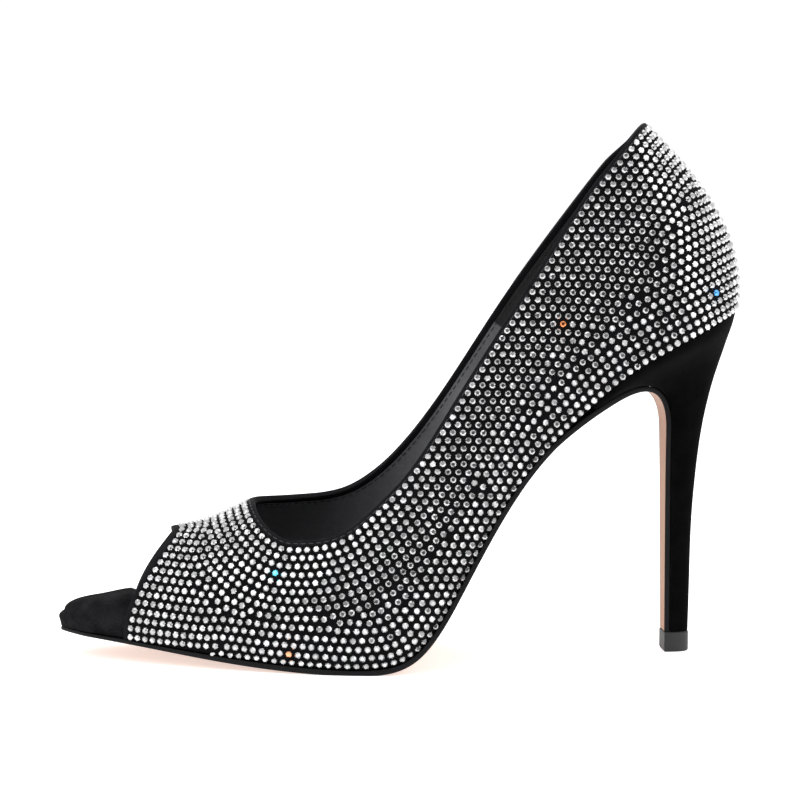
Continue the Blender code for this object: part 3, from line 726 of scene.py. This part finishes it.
def breastY(down, side):
    return side * last["ballWidth"] * spline(breastTable, sideName(side).lower(), down, "down")


def inSpace(flat, y):
    return np.stack([flat[:, 0], y, flat[:, 1]], -1)


# Outsole: an upper and a lower line on each side, along the sole and then down the breast; its
# edge bulges a little between them and rolls into the bottom
def addOutsole():
    u = np.concatenate([
        np.linspace(tipColumn, last["toeRound"], outsole["toe"]),
        np.linspace(last["toeRound"], heel["waistEnd"], outsole["shoe"])[1:],
    ])
    thickness = outsole["thickness"] * spline(soleTable, "thickness", station(u)[0])
    up = soleUp(u)
    down = np.concatenate([
        np.linspace(0, 1, outsole["breast"])[1:], np.linspace(1, 2, outsole["shaft"])[1:],
    ])
    path, wayIn = breastPath(down)
    outer = path - outsole["thickness"] * outsole["waistThin"] * wayIn
    outer[-1, 1] = path[-1, 1]
    lines = {}
    for side in (-1, 1):
        edge = foot(u, side) - outsole["inset"] * soleOut(u, side)
        top = edge - last["seam"] * up
        low = edge - (last["seam"] + thickness)[:, None] * up
        low[:, 2] = np.maximum(low[:, 2], 0)
        start = top[-1, 1] - breastY(np.zeros(1), side)[0]
        ease = np.clip(1 - down / heel["breastEase"], 0, 1)
        y = breastY(down, side) + start * ease - side * outsole["inset"] * (1 - ease)
        top = np.concatenate([top, inSpace(path, y)])
        low = np.concatenate([low, inSpace(outer, y)])
        out = np.concatenate([soleOut(u, side), np.repeat([[0, side, 0]], len(down), 0)])
        lines[side] = [top]
        for share, bulge in outsole["bulges"]:
            lines[side].append(top + share * (low - top) + bulge * outsole["edgeBulge"] * out)
        for share in outsole["roundings"]:
            lines[side].append(low - share * outsole["bottomRound"] * out)
    shares = np.linspace(0, 1, outsole["across"])[1:-1]
    across = [lines[-1][-1] * (1 - s) + lines[1][-1] * s for s in shares]
    rings = np.stack([*lines[-1], *across, *lines[1][::-1]], axis=1)
    points, faces = loft(rings)
    # the ring's faces that lie on the edge are inked, the bottom between them is bare leather
    size, edge = rings.shape[1], len(lines[1])
    column = np.tile(np.arange(size), rings.shape[0] - 1)
    faceMaterial = np.ones(len(faces), int)
    faceMaterial[: len(column)] = (column < edge - 1) | (column >= size - edge)
    addPiece(
        "outsole_leather", points, faces, [soleLeather, edgeInk], "sole_leather", ["outsole"],
        faceMaterial, sharp=60,
    )


addOutsole()


# Heel: rings from the seat under the upper down to the top piece. Each ring runs from the breast
# round the back, straight in side view, and its plan is a superellipse
def heelRings():
    lip = heel["lip"]
    down = np.concatenate([
        np.linspace(lip, 1, heel["breastRings"]), np.linspace(1, 2, heel["shaftRings"])[1:],
    ])
    path, wayIn = breastPath(down)
    front = path + last["seam"] * wayIn
    front[-1, 1] = heel["tipHeight"] + last["seam"]
    u = np.concatenate([
        np.linspace(front[0, 0] / last["soleLength"], last["seatCentre"], heel["seatPoints"]),
        np.linspace(last["seatCentre"], backColumn, heel["backPoints"])[1:],
    ])
    seats = [
        foot(u, side) - outsole["inset"] * soleOut(u, side) - last["seam"] * soleUp(u)
        for side in (-1, 1)
    ]
    seat = np.concatenate([seats[0], seats[1][-2::-1]])
    side = np.concatenate([-np.ones(len(u)), np.ones(len(u) - 1)])
    back = seat[len(u) - 1]
    a = (seat[:, 0] - seat[0, 0]) / (back[0] - seat[0, 0])
    settle = np.clip((down - lip) / (1 - lip), 0, 1)
    backZ = back[2] + (front[:, 1] - back[2]) * np.where(down > 1, 1, settle ** heel["settle"])
    backX = last["soleLength"] * spline(heelBackTable, "along", backZ / last["heelHeight"], "rise")
    backX = backX + (back[0] - backX[0]) * (1 - settle) ** 2
    straight = front[0] + a[:, None] * (np.array([backX[0], backZ[0]]) - front[0])
    rest = seat[:, [0, 2]] - straight
    rest[[0, -1]] = 0
    plan = (1 - a ** heel["roundness"]) ** (1 / heel["roundness"])
    rings = [seat]
    for k in range(len(down)):
        flat = front[k] + a[:, None] * (np.array([backX[k], backZ[k]]) - front[k])
        flat = flat + rest * (1 - settle[k]) ** 2
        lateral, medial = breastY(down[k : k + 1], -1)[0], breastY(down[k : k + 1], 1)[0]
        width = np.where(side < 0, lateral, medial)
        blend = 1 - (1 - settle[k]) ** 2
        y = seat[:, 1] * (1 - blend) + width * plan * blend
        y[0], y[-1] = width[0], width[-1]
        rings.append(inSpace(flat, y))
    return np.array(rings)


rings = heelRings()
addPiece("heel_wrap", *loft(rings), [heelSuedePaintedShade], "suede", ["heel"])


# Top piece: the shaft's last ring, a little larger, with its edges broken by small bevels
def addTopPiece(section):
    low = section.copy()
    low[[0, -1], 0] -= last["seam"] + outsole["thickness"] * outsole["waistThin"]
    middle = np.array([low[:, 0].mean(), 0, 0])
    away = unit((low - middle) * (1, 1, 0))
    made = []
    for height, inset in heel["tipEdges"]:
        ring = low.copy()
        ring[:, :2] += (heel["tipOverhang"] - inset) * away[:, :2]
        ring[:, 2] = height * heel["tipHeight"]
        made.append(ring)
    points, faces = loft(np.array(made))
    addPiece("heel_top_piece", points, faces, [topPiece], "top_piece", ["heel_tip"], sharp=25)


addTopPiece(rings[-1])

stitch = {
    "pitch": 0.0024, "first": 0.6, "length": 0.0017, "radius": 0.00017, "sides": 6,
    "spindle": ((-0.5, 0.25), (-0.36, 0.9), (0.0, 1.0), (0.36, 0.9), (0.5, 0.25)),
    "outerInset": 0.0012, "innerInset": 0.0027,
}


# Columns and levels at an even pitch along a line of the surface, found by its own length. A line
# that has run off the surface has no length, and gets none
def evenly(side, u, level, first, pitch, longest=0.6):
    run = runAlong(wall(u, side, level))
    places = np.arange(first, longest, pitch)
    places = places[places <= run[-1]]
    return np.interp(places, run, u), np.interp(places, run, level)


# Copies of one small shape, each set at its centre along its own three axes
def copies(shape, centre, *axes):
    made = centre[:, None]
    for k, axis in enumerate(axes):
        made = made + shape[None, :, k, None] * axis[:, None]
    return made.reshape(-1, 3)


# A row of thread: a small spindle for each stitch, laid along the line and half sunk
def addStitches(name, inset, depth):
    turn = np.linspace(0, 2 * np.pi, stitch["sides"], endpoint=False)
    wide, high = stitch["radius"] * np.cos(turn), stitch["radius"] * np.sin(turn)
    shape, single = loft(np.array([
        np.stack([place * stitch["length"] + 0 * turn, width * wide, width * high], -1)
        for place, width in stitch["spindle"]
    ]))
    points, faces, start = [], [], 0
    for side in (-1, 1):
        u, level = topline(side, inset)
        u, level = evenly(side, u, level, stitch["pitch"] * stitch["first"], stitch["pitch"])
        normal = outward(u, side, level)
        centre = wall(u, side, level) - depth * normal
        ahead = unit(np.gradient(centre, axis=0))
        across = unit(np.cross(normal, ahead))
        points.append(copies(shape, centre, ahead, across, np.cross(ahead, across)))
        offsets = start + np.arange(len(centre)) * len(shape)
        faces.append((single[None] + offsets[:, None, None]).reshape(-1, 4))
        start += len(centre) * len(shape)
    addPiece(name, np.concatenate(points), np.concatenate(faces), [thread], "binding")


addStitches("topline_stitches", stitch["outerInset"], -upperCut["raise"])
addStitches("lining_stitches", stitch["innerInset"], last["wall"])
print("construction finished")

stones = {
    "diameter": 0.00218, "height": 0.00072, "sink": 0.00008,
    "crown": 0.84, "crownHeight": 0.50, "table": 0.48, "sides": 8,
    "pitch": 0.00272, "rowSpacing": 0.00262, "jitter": 0.00005, "tilt": 0.05,
    "throatRow": 0.0031, "quarterRow": 0.0021, "quarterFrom": (0.31, 0.52),
    "fromPeep": 0.0024, "fromFeather": 0.0010,
    "pace": 0.00045, "toplineRows": 17, "peepRows": 14, "featherRows": 20,
    "lead": 1.7, "leadLoss": 1.25, "lossFrom": 0.78, "lossOver": 0.24, "peepLead": 1.35,
    "lowest": 0.004, "peepReach": 0.030, "clearShares": (0.95, 0.9, 0.85), "closest": 0.00224,
    "edgePoints": 241, "featherPoints": 420, "cell": 0.003, "seed": 7,
    "netFrom": (0.12, 0.01), "netSize": (420, 110), "fillAt": 0.00226,
    "seamReach": 0.0045, "backMeet": 1.03,
    "push": 0.0006, "pushReach": 0.0031, "settling": (14, 14, 10),
    "inwards": {"topline": (-0.004, -0.05), "peep": (0.01, 0), "feather": (0, 0.05)},
    "strayColumns": 0.01, "strayLevels": 0.25, "grey": 0.38, "greyRange": 0.26, "blue": 1.01,
}


# Distance of the first row from the topline: wide at the throat, closer along the quarters
def firstRow(u):
    start, end = stones["quarterFrom"]
    share = smooth(np.clip((u - start) / (end - start), 0, 1))
    return stones["throatRow"] + (stones["quarterRow"] - stones["throatRow"]) * share


def tangents(side, u, level):
    alongU = (wall(u + step, side, level) - wall(u - step, side, level)) / (2 * step)
    return alongU, (wall(u, side, level + step) - wall(u, side, level - step)) / (2 * step)


# A small move over the surface, turned into columns and levels by its two tangents
def moved(u, level, alongU, alongV, move):
    uu, vv, uv = (alongU**2).sum(-1), (alongV**2).sum(-1), (alongU * alongV).sum(-1)
    mu, mv = (alongU * move).sum(-1), (alongV * move).sum(-1)
    spread = uu * vv - uv**2
    u = u + (mu * vv - mv * uv) / spread
    level = level + (mv * uu - mu * uv) / spread
    stray = stones["strayColumns"]
    u = np.clip(u, last["peepFoot"] - stray, backColumn + stray)
    return u, np.clip(level, -stones["strayLevels"], 1)


# Rays over the surface: each keeps its own direction in it, and is read at the given distances
def rays(side, u, level, heading, targets):
    gone, rows = np.zeros(len(u)), []
    for target in targets:
        count = math.ceil(np.max(target - gone) / stones["pace"])
        move = (target - gone) / count
        gone = gone + count * move
        for _ in range(count):
            alongU, alongV = tangents(side, u, level)
            normal = unit(np.cross(alongU, alongV))
            heading = unit(heading - (heading * normal).sum(-1, keepdims=True) * normal)
            u, level = moved(u, level, alongU, alongV, move[:, None] * heading)
        rows.append((u, level))
    return rows


# Stones at an even pitch along one row, counted from its first point
def alongRow(side, u, level, first):
    u, level = evenly(side, u, level, first, stones["pitch"])
    return np.stack([u, level, np.full(len(u), float(side))], -1)


# Rows set on by half a pitch in turn. Where both sides share a row's first point, the lateral
# side has the stone there
def staggered(side, rows):
    made = []
    for k, (u, level) in enumerate(rows):
        phase = (k % 2) * 0.5
        first = (phase if phase or side < 0 else 1) * stones["pitch"]
        made.append(alongRow(side, u, level, first))
    return made


# Headings square to a line of the surface, turned to the side that the given step leads to
def squareTo(side, u, level, stepU, stepV):
    line = wall(u, side, level)
    heading = unit(np.cross(np.gradient(line, axis=0), outward(u, side, level)))
    lead = wall(u + stepU, side, level + stepV) - line
    return heading * np.sign(np.median((heading * lead).sum(-1)))


def nearest(points, line):
    found = np.full(len(points), np.inf)
    for part in np.array_split(line, max(1, len(line) // 200)):
        gap = np.linalg.norm(points[:, None] - part[None], axis=-1).min(1)
        found = np.minimum(found, gap)
    return found


def surfacePoints(places):
    points = np.empty((len(places), 3))
    for side in (-1, 1):
        mask = places[:, 2] == side
        points[mask] = wall(places[mask, 0], side, places[mask, 1])
    return points


# Distances of each place to the topline, the peep edge and the feather line
def distances(places, edges):
    points = surfacePoints(places)
    return [nearest(points, edges[name]) for name in ("topline", "peep", "feather")]


# Which places are further from all three edges than the first rows, by a share or a distance
def clearOf(places, away, shares=(1, 1, 1), more=0):
    wanted = (firstRow(places[:, 0]), stones["fromPeep"], stones["fromFeather"])
    return np.all([a > share * w + more for a, share, w in zip(away, shares, wanted)], axis=0)


# Which places lie on the upper, below the topline's own level at their column
def underEdge(places):
    limits = [edgeLevel(places[:, 0], side) for side in (-1, 1)]
    return places[:, 1] <= np.where(places[:, 2] < 0, *limits)


# Numbers of the points that stand clear of those kept before them; cells find the neighbours
def thinned(points, gap, cells):
    kept = []
    for k, point in enumerate(points):
        cell = tuple(np.floor(point / stones["cell"]).astype(int))
        close = (
            other
            for dx in (-1, 0, 1) for dy in (-1, 0, 1) for dz in (-1, 0, 1)
            for other in cells.get((cell[0] + dx, cell[1] + dy, cell[2] + dz), ())
        )
        if all(math.dist(point, other) >= gap for other in close):
            cells.setdefault(cell, []).append(tuple(point))
            kept.append(k)
    return kept


# Pushes the loose stones apart over the surface, each away from all those within reach
def settled(places, loose, rounds):
    for _ in range(rounds):
        points = surfacePoints(places)
        away = points[loose][:, None] - points[None]
        # a stone doesn't push itself, and nothing is divided by zero
        gap = np.linalg.norm(away, axis=-1) + 1e-9
        force = np.clip(1 - gap / stones["pushReach"], 0, 1) * (gap > 1e-7)
        push = stones["push"] * (away / gap[..., None] * force[..., None]).sum(1)
        for side in (-1, 1):
            mine = places[loose, 2] == side
            here = np.flatnonzero(loose)[mine]
            u, level = places[here, 0], places[here, 1]
            u, level = moved(u, level, *tangents(side, u, level), push[mine])
            places[here, 0], places[here, 1] = u, level
    return places


# Points along the topline, the peep edge and the feather line of both sides
def edgeLines(level, featherU):
    edges = {"topline": [], "peep": [], "feather": []}
    for side in (-1, 1):
        edgeU, topLevel = topline(side, 0)
        edges["topline"].append(wall(edgeU, side, topLevel))
        edges["peep"].append(wall(np.full(len(level), last["peepFoot"]), side, level))
        edges["feather"].append(foot(featherU, side))
    return {name: np.concatenate(lines) for name, lines in edges.items()}


# The three families of rows. Rays leave each edge square to it, and each row joins their ends
def rowFamilies(level, featherU, spacing):
    families = {"topline": [], "peep": [], "feather": []}
    for side in (-1, 1):
        u, v = topline(side, 0, corner=60, middle=220, back=60)
        heading = squareTo(side, u, v, *stones["inwards"]["topline"])
        heading[0, 1] = 0
        targets = firstRow(u) + spacing * np.arange(stones["toplineRows"])[:, None]
        families["topline"] += staggered(side, rays(side, u, v, unit(heading), targets))

        u = np.full(len(level), last["peepFoot"])
        heading = squareTo(side, u, level, *stones["inwards"]["peep"])
        heading[-1, 1] = 0
        targets = stones["fromPeep"] + spacing * np.arange(stones["peepRows"])
        for rowU, rowV in rays(side, u, level, unit(heading), targets):
            start = np.interp(0, rowV, runAlong(wall(rowU, side, rowV)))
            families["peep"].append(alongRow(side, rowU, rowV, start + stones["fromFeather"]))

        u, v = featherU[::-1], np.zeros(len(featherU))
        heading = squareTo(side, u, v, *stones["inwards"]["feather"])
        targets = stones["fromFeather"] + stones["rowSpacing"] * np.arange(stones["featherRows"])
        families["feather"] += staggered(side, rays(side, u, v, heading, targets))
    return families


# Each family keeps the stones of its own region: the peep's rows near the open toe, else the
# topline's rows, which lead less towards the back, where the seat's rows take over
def chooseStones(families, edges):
    chosen, kinds = [], []
    for kind, rows in enumerate(families.values()):
        places = np.concatenate(rows)
        places = places[(places[:, 1] > stones["lowest"]) & (places[:, 0] < backColumn)]
        away = distances(places, edges)
        toTopline, toPeep, toFeather = away
        late = smooth(np.clip((places[:, 0] - stones["lossFrom"]) / stones["lossOver"], 0, 1))
        lead = stones["lead"] - stones["leadLoss"] * late
        mine = (toTopline < lead * toFeather) & (toTopline < stones["peepLead"] * toPeep)
        front = ~mine & (toPeep < stones["peepReach"])
        region = (mine, front, ~mine & ~front)[kind]
        keep = region & clearOf(places, away, stones["clearShares"]) & underEdge(places)
        chosen.append(places[keep])
        kinds.append(np.full(keep.sum(), kind))
    places, kinds = np.concatenate(chosen), np.concatenate(kinds)
    kept = thinned(surfacePoints(places), stones["closest"], {})
    return places[kept], kinds[kept]


# Candidates for the seams: a fine net over the upper, in random order
def seamNet(edges, random):
    net = []
    for side in (-1, 1):
        ends = zip(stones["netFrom"], (backColumn, 1), stones["netSize"])
        u, v = np.meshgrid(*[np.linspace(*end) for end in ends])
        net.append(np.stack([u.ravel(), v.ravel(), np.full(u.size, float(side))], -1))
    net = random.permutation(np.concatenate(net))
    net = net[underEdge(net)]
    return net[clearOf(net, distances(net, edges))]


# Stones that may give way: those by a seam between families, but for the rows along the edges.
# The topline's rows of both sides also meet at the back, above the seat's rows
def looseStones(places, kinds, edges):
    points = surfacePoints(places)
    seam = (kinds == 0) & (places[:, 0] > stones["backMeet"])
    for kind in range(3):
        mine = kinds == kind
        seam[mine] |= nearest(points[mine], points[~mine]) < stones["seamReach"]
    return seam & clearOf(places, distances(places, edges), more=stones["rowSpacing"] / 2)


def layStones():
    level = np.linspace(0, 1, stones["edgePoints"])
    featherU = np.linspace(last["peepFoot"], backColumn, stones["featherPoints"])
    edges = edgeLines(level, featherU)
    throat = wall(np.array([last["throatFoot"]]), 1, np.array([1.0]))
    bridge = nearest(throat, edges["peep"])[0] - stones["throatRow"] - stones["fromPeep"]
    spacing = bridge / round(bridge / stones["rowSpacing"])
    places, kinds = chooseStones(rowFamilies(level, featherU, spacing), edges)
    print("stones in rows:", len(places))

    # what is still open at the seams is filled, and the stones there give way to each other
    random = np.random.default_rng(stones["seed"])
    net = seamNet(edges, random)
    netPoints = surfacePoints(net)
    loose = looseStones(places, kinds, edges)
    for rounds in stones["settling"]:
        cells = {}
        thinned(surfacePoints(places), 0, cells)
        filled = net[thinned(netPoints, stones["fillAt"], cells)]
        print("stones in the seams:", len(filled))
        places = np.concatenate([places, filled])
        loose = np.concatenate([loose, np.ones(len(filled), bool)])
        places = settled(places, loose, rounds)
    return places, random


# Stones as one mesh: a girdle, a crown turned by half a facet and a flat table, set square to
# the surface with a small seeded tilt and turn of their own
def addStones(name, places, tint, random):
    size, count = stones["sides"], len(places)
    angle = np.arange(size) * 2 * np.pi / size
    half = np.pi / size
    radius = stones["diameter"] / 2
    shape = np.concatenate([
        np.stack([
            r * radius * np.cos(angle + t), r * radius * np.sin(angle + t), 0 * angle + z,
        ], -1)
        for r, t, z in (
            (1, 0, 0),
            (stones["crown"], half, stones["crownHeight"] * stones["height"]),
            (stones["table"], half, stones["height"]),
        )
    ])
    points = surfacePoints(places)
    normal = np.empty_like(points)
    for side in (-1, 1):
        mask = places[:, 2] == side
        normal[mask] = outward(places[mask, 0], side, places[mask, 1])
    normal = unit(unit(normal) + random.normal(0, stones["tilt"], (count, 3)))
    across = unit(np.cross(normal, random.normal(0, 1, (count, 3))))
    other = np.cross(normal, across)
    points = points + random.normal(0, stones["jitter"], (count, 1)) * across
    points = points - stones["sink"] * normal
    made = copies(shape, points, across, other, normal)
    j = np.arange(size)
    n = (j + 1) % size
    triangles = np.concatenate([
        np.stack([j, n, size + j], -1),
        np.stack([n, size + n, size + j], -1),
    ])
    quads = np.stack([size + j, size + n, 2 * size + n, 2 * size + j], -1)
    offset = np.arange(count) * 3 * size
    groups = [
        (offset[:, None, None] + triangles[None]).reshape(-1, 3),
        (offset[:, None, None] + quads[None]).reshape(-1, 4),
        offset[:, None] + 2 * size + j[None],
        offset[:, None] + j[::-1][None],
    ]
    faces = [face for group in groups for face in group.tolist()]
    mesh = bpy.data.meshes.new(name)
    mesh.from_pydata((made + origin).tolist(), [], faces)
    # each stone's random tone, and on a few stones a painted glint of coloured fire
    tone = np.repeat(tint, 3 * size, axis=0).astype(np.float32)
    attribute = mesh.color_attributes.new("stoneToneAndPaintedGlint", "FLOAT_COLOR", "POINT")
    attribute.data.foreach_set("color", tone.ravel())
    mesh.materials.append(foiledGlass)
    mesh.shade_flat()
    piece = addObject(name, mesh)
    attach(piece, "root")
    print("piece", name, count, "stones")


# Painted glints: warm and cold fire painted into the foil colour of the stone nearest each place,
# in place of coloured flashes of light: place in side view, and colour
paintedGlints = (
    (0.04747, 0.1012, "FF9A5C"), (0.09445, 0.1094, "5AB4FF"),
    (-0.03860, 0.0285, "5FD8F0"), (-0.03374, 0.0055, "FFB080"),
)


def stoneTones(places, random):
    grey = stones["grey"] + stones["greyRange"] * random.random(len(places))
    tones = np.stack([grey, grey, grey * stones["blue"], np.ones(len(places))], -1)
    points = surfacePoints(places) + origin
    # painted glint: the lateral stone nearest each place takes the fire colour instead of its tone
    for x, z, hexCode in paintedGlints:
        gap = np.hypot(points[:, 0] - x, points[:, 2] - z) + (places[:, 2] > 0)
        tones[np.argmin(gap)] = linear(hexCode)
    return tones


places, random = layStones()
tones = stoneTones(places, random)
for name, side in (("stones_lateral", -1), ("stones_medial", 1)):
    mask = places[:, 2] == side
    addStones(name, places[mask], tones[mask], random)
print("stones laid:", len(places))

studio = {
    "floorRadius": 6.0, "world": 1.05, "aim": (0, 0, 0.07), "clip": (0.01, 50),
    "behind": (0.05, -0.99, 0.05), "dimming": (0.80, 0.97), "dim": 0.05,
    "target": (0.000514, 0.00063, 0.0770), "azimuth": -3.0, "elevation": 4.0,
    "distance": 0.700, "lens": 104.0, "sensor": 36.0,
    "lights": (
        ("overhead", (-0.1, 0.1, 1.2), (1.2, 0.9), 4.5),
        ("front_left", (-0.9, -0.9, 0.8), (0.6, 0.9), 3.5),
        ("front_right", (1.0, -0.8, 0.6), (0.5, 0.9), 2.5),
    ),
}


# Light table of opal acrylic, matt and lit from below, so that only a breath of shadow is left
def addFloor():
    material = grained(
        "backlit_acrylic", "FAFAFA", "FFFFFF", grain=0.002, patch=0.2, depth=0.00001,
        Roughness=0.9, Emission_Color=(1, 1, 1, 1), Emission_Strength=0.5,
    )
    angle = np.linspace(0, 2 * np.pi, 96, endpoint=False)
    ring = studio["floorRadius"] * np.stack([np.cos(angle), np.sin(angle), 0 * angle], -1)
    mesh = bpy.data.meshes.new("floor")
    mesh.from_pydata(ring.tolist(), [], [list(range(len(ring)))])
    mesh.materials.append(material)
    floor = addObject("floor", mesh)


# A bright even sky for light and backdrop; mirrors see it dimmer behind the camera
def addWorld():
    world = bpy.data.worlds.new("studio")
    bpy.context.scene.world = world
    world.use_nodes = True
    tree = world.node_tree
    background = tree.nodes["Background"]
    background.inputs["Strength"].default_value = studio["world"]
    direction = addNode(tree, "ShaderNodeTexCoord").outputs["Generated"]
    toCamera = addNode(
        tree, "ShaderNodeVectorMath", {0: direction, 1: studio["behind"]}, operation="DOT_PRODUCT",
    )
    white, dim = (1, 1, 1, 1), (*[studio["dim"]] * 3, 1)
    mirrored = addRamp(tree, toCamera.outputs["Value"], studio["dimming"], (white, dim))
    seen = addNode(tree, "ShaderNodeLightPath").outputs["Is Camera Ray"]
    shown = addNode(
        tree, "ShaderNodeMix", {"Factor": seen, 6: mirrored, 7: white}, data_type="RGBA",
    )
    tree.links.new(shown.outputs[2], background.inputs["Color"])


def addLights():
    for name, place, size, power in studio["lights"]:
        data = bpy.data.lights.new(name, "AREA")
        data.shape, data.size, data.size_y, data.energy = "RECTANGLE", *size, power
        light = addObject(name, data)
        light.location = place
        ahead = Vector(studio["aim"]) - light.location
        light.rotation_euler = ahead.to_track_quat("-Z", "Y").to_euler()


def addCamera():
    turn, tilt = math.radians(studio["azimuth"]), math.radians(studio["elevation"])
    flat = math.cos(tilt)
    back = Vector((math.sin(turn) * flat, -math.cos(turn) * flat, math.sin(tilt)))
    data = bpy.data.cameras.new("camera")
    data.lens, data.sensor_width = studio["lens"], studio["sensor"]
    data.clip_start, data.clip_end = studio["clip"]
    camera = addObject("camera", data)
    camera.location = Vector(studio["target"]) + studio["distance"] * back
    camera.rotation_euler = (-back).to_track_quat("-Z", "Y").to_euler()
    bpy.context.scene.camera = camera


addFloor()
addWorld()
addLights()
addCamera()
bpy.context.scene.view_settings.view_transform = "Standard"
print("studio ready")
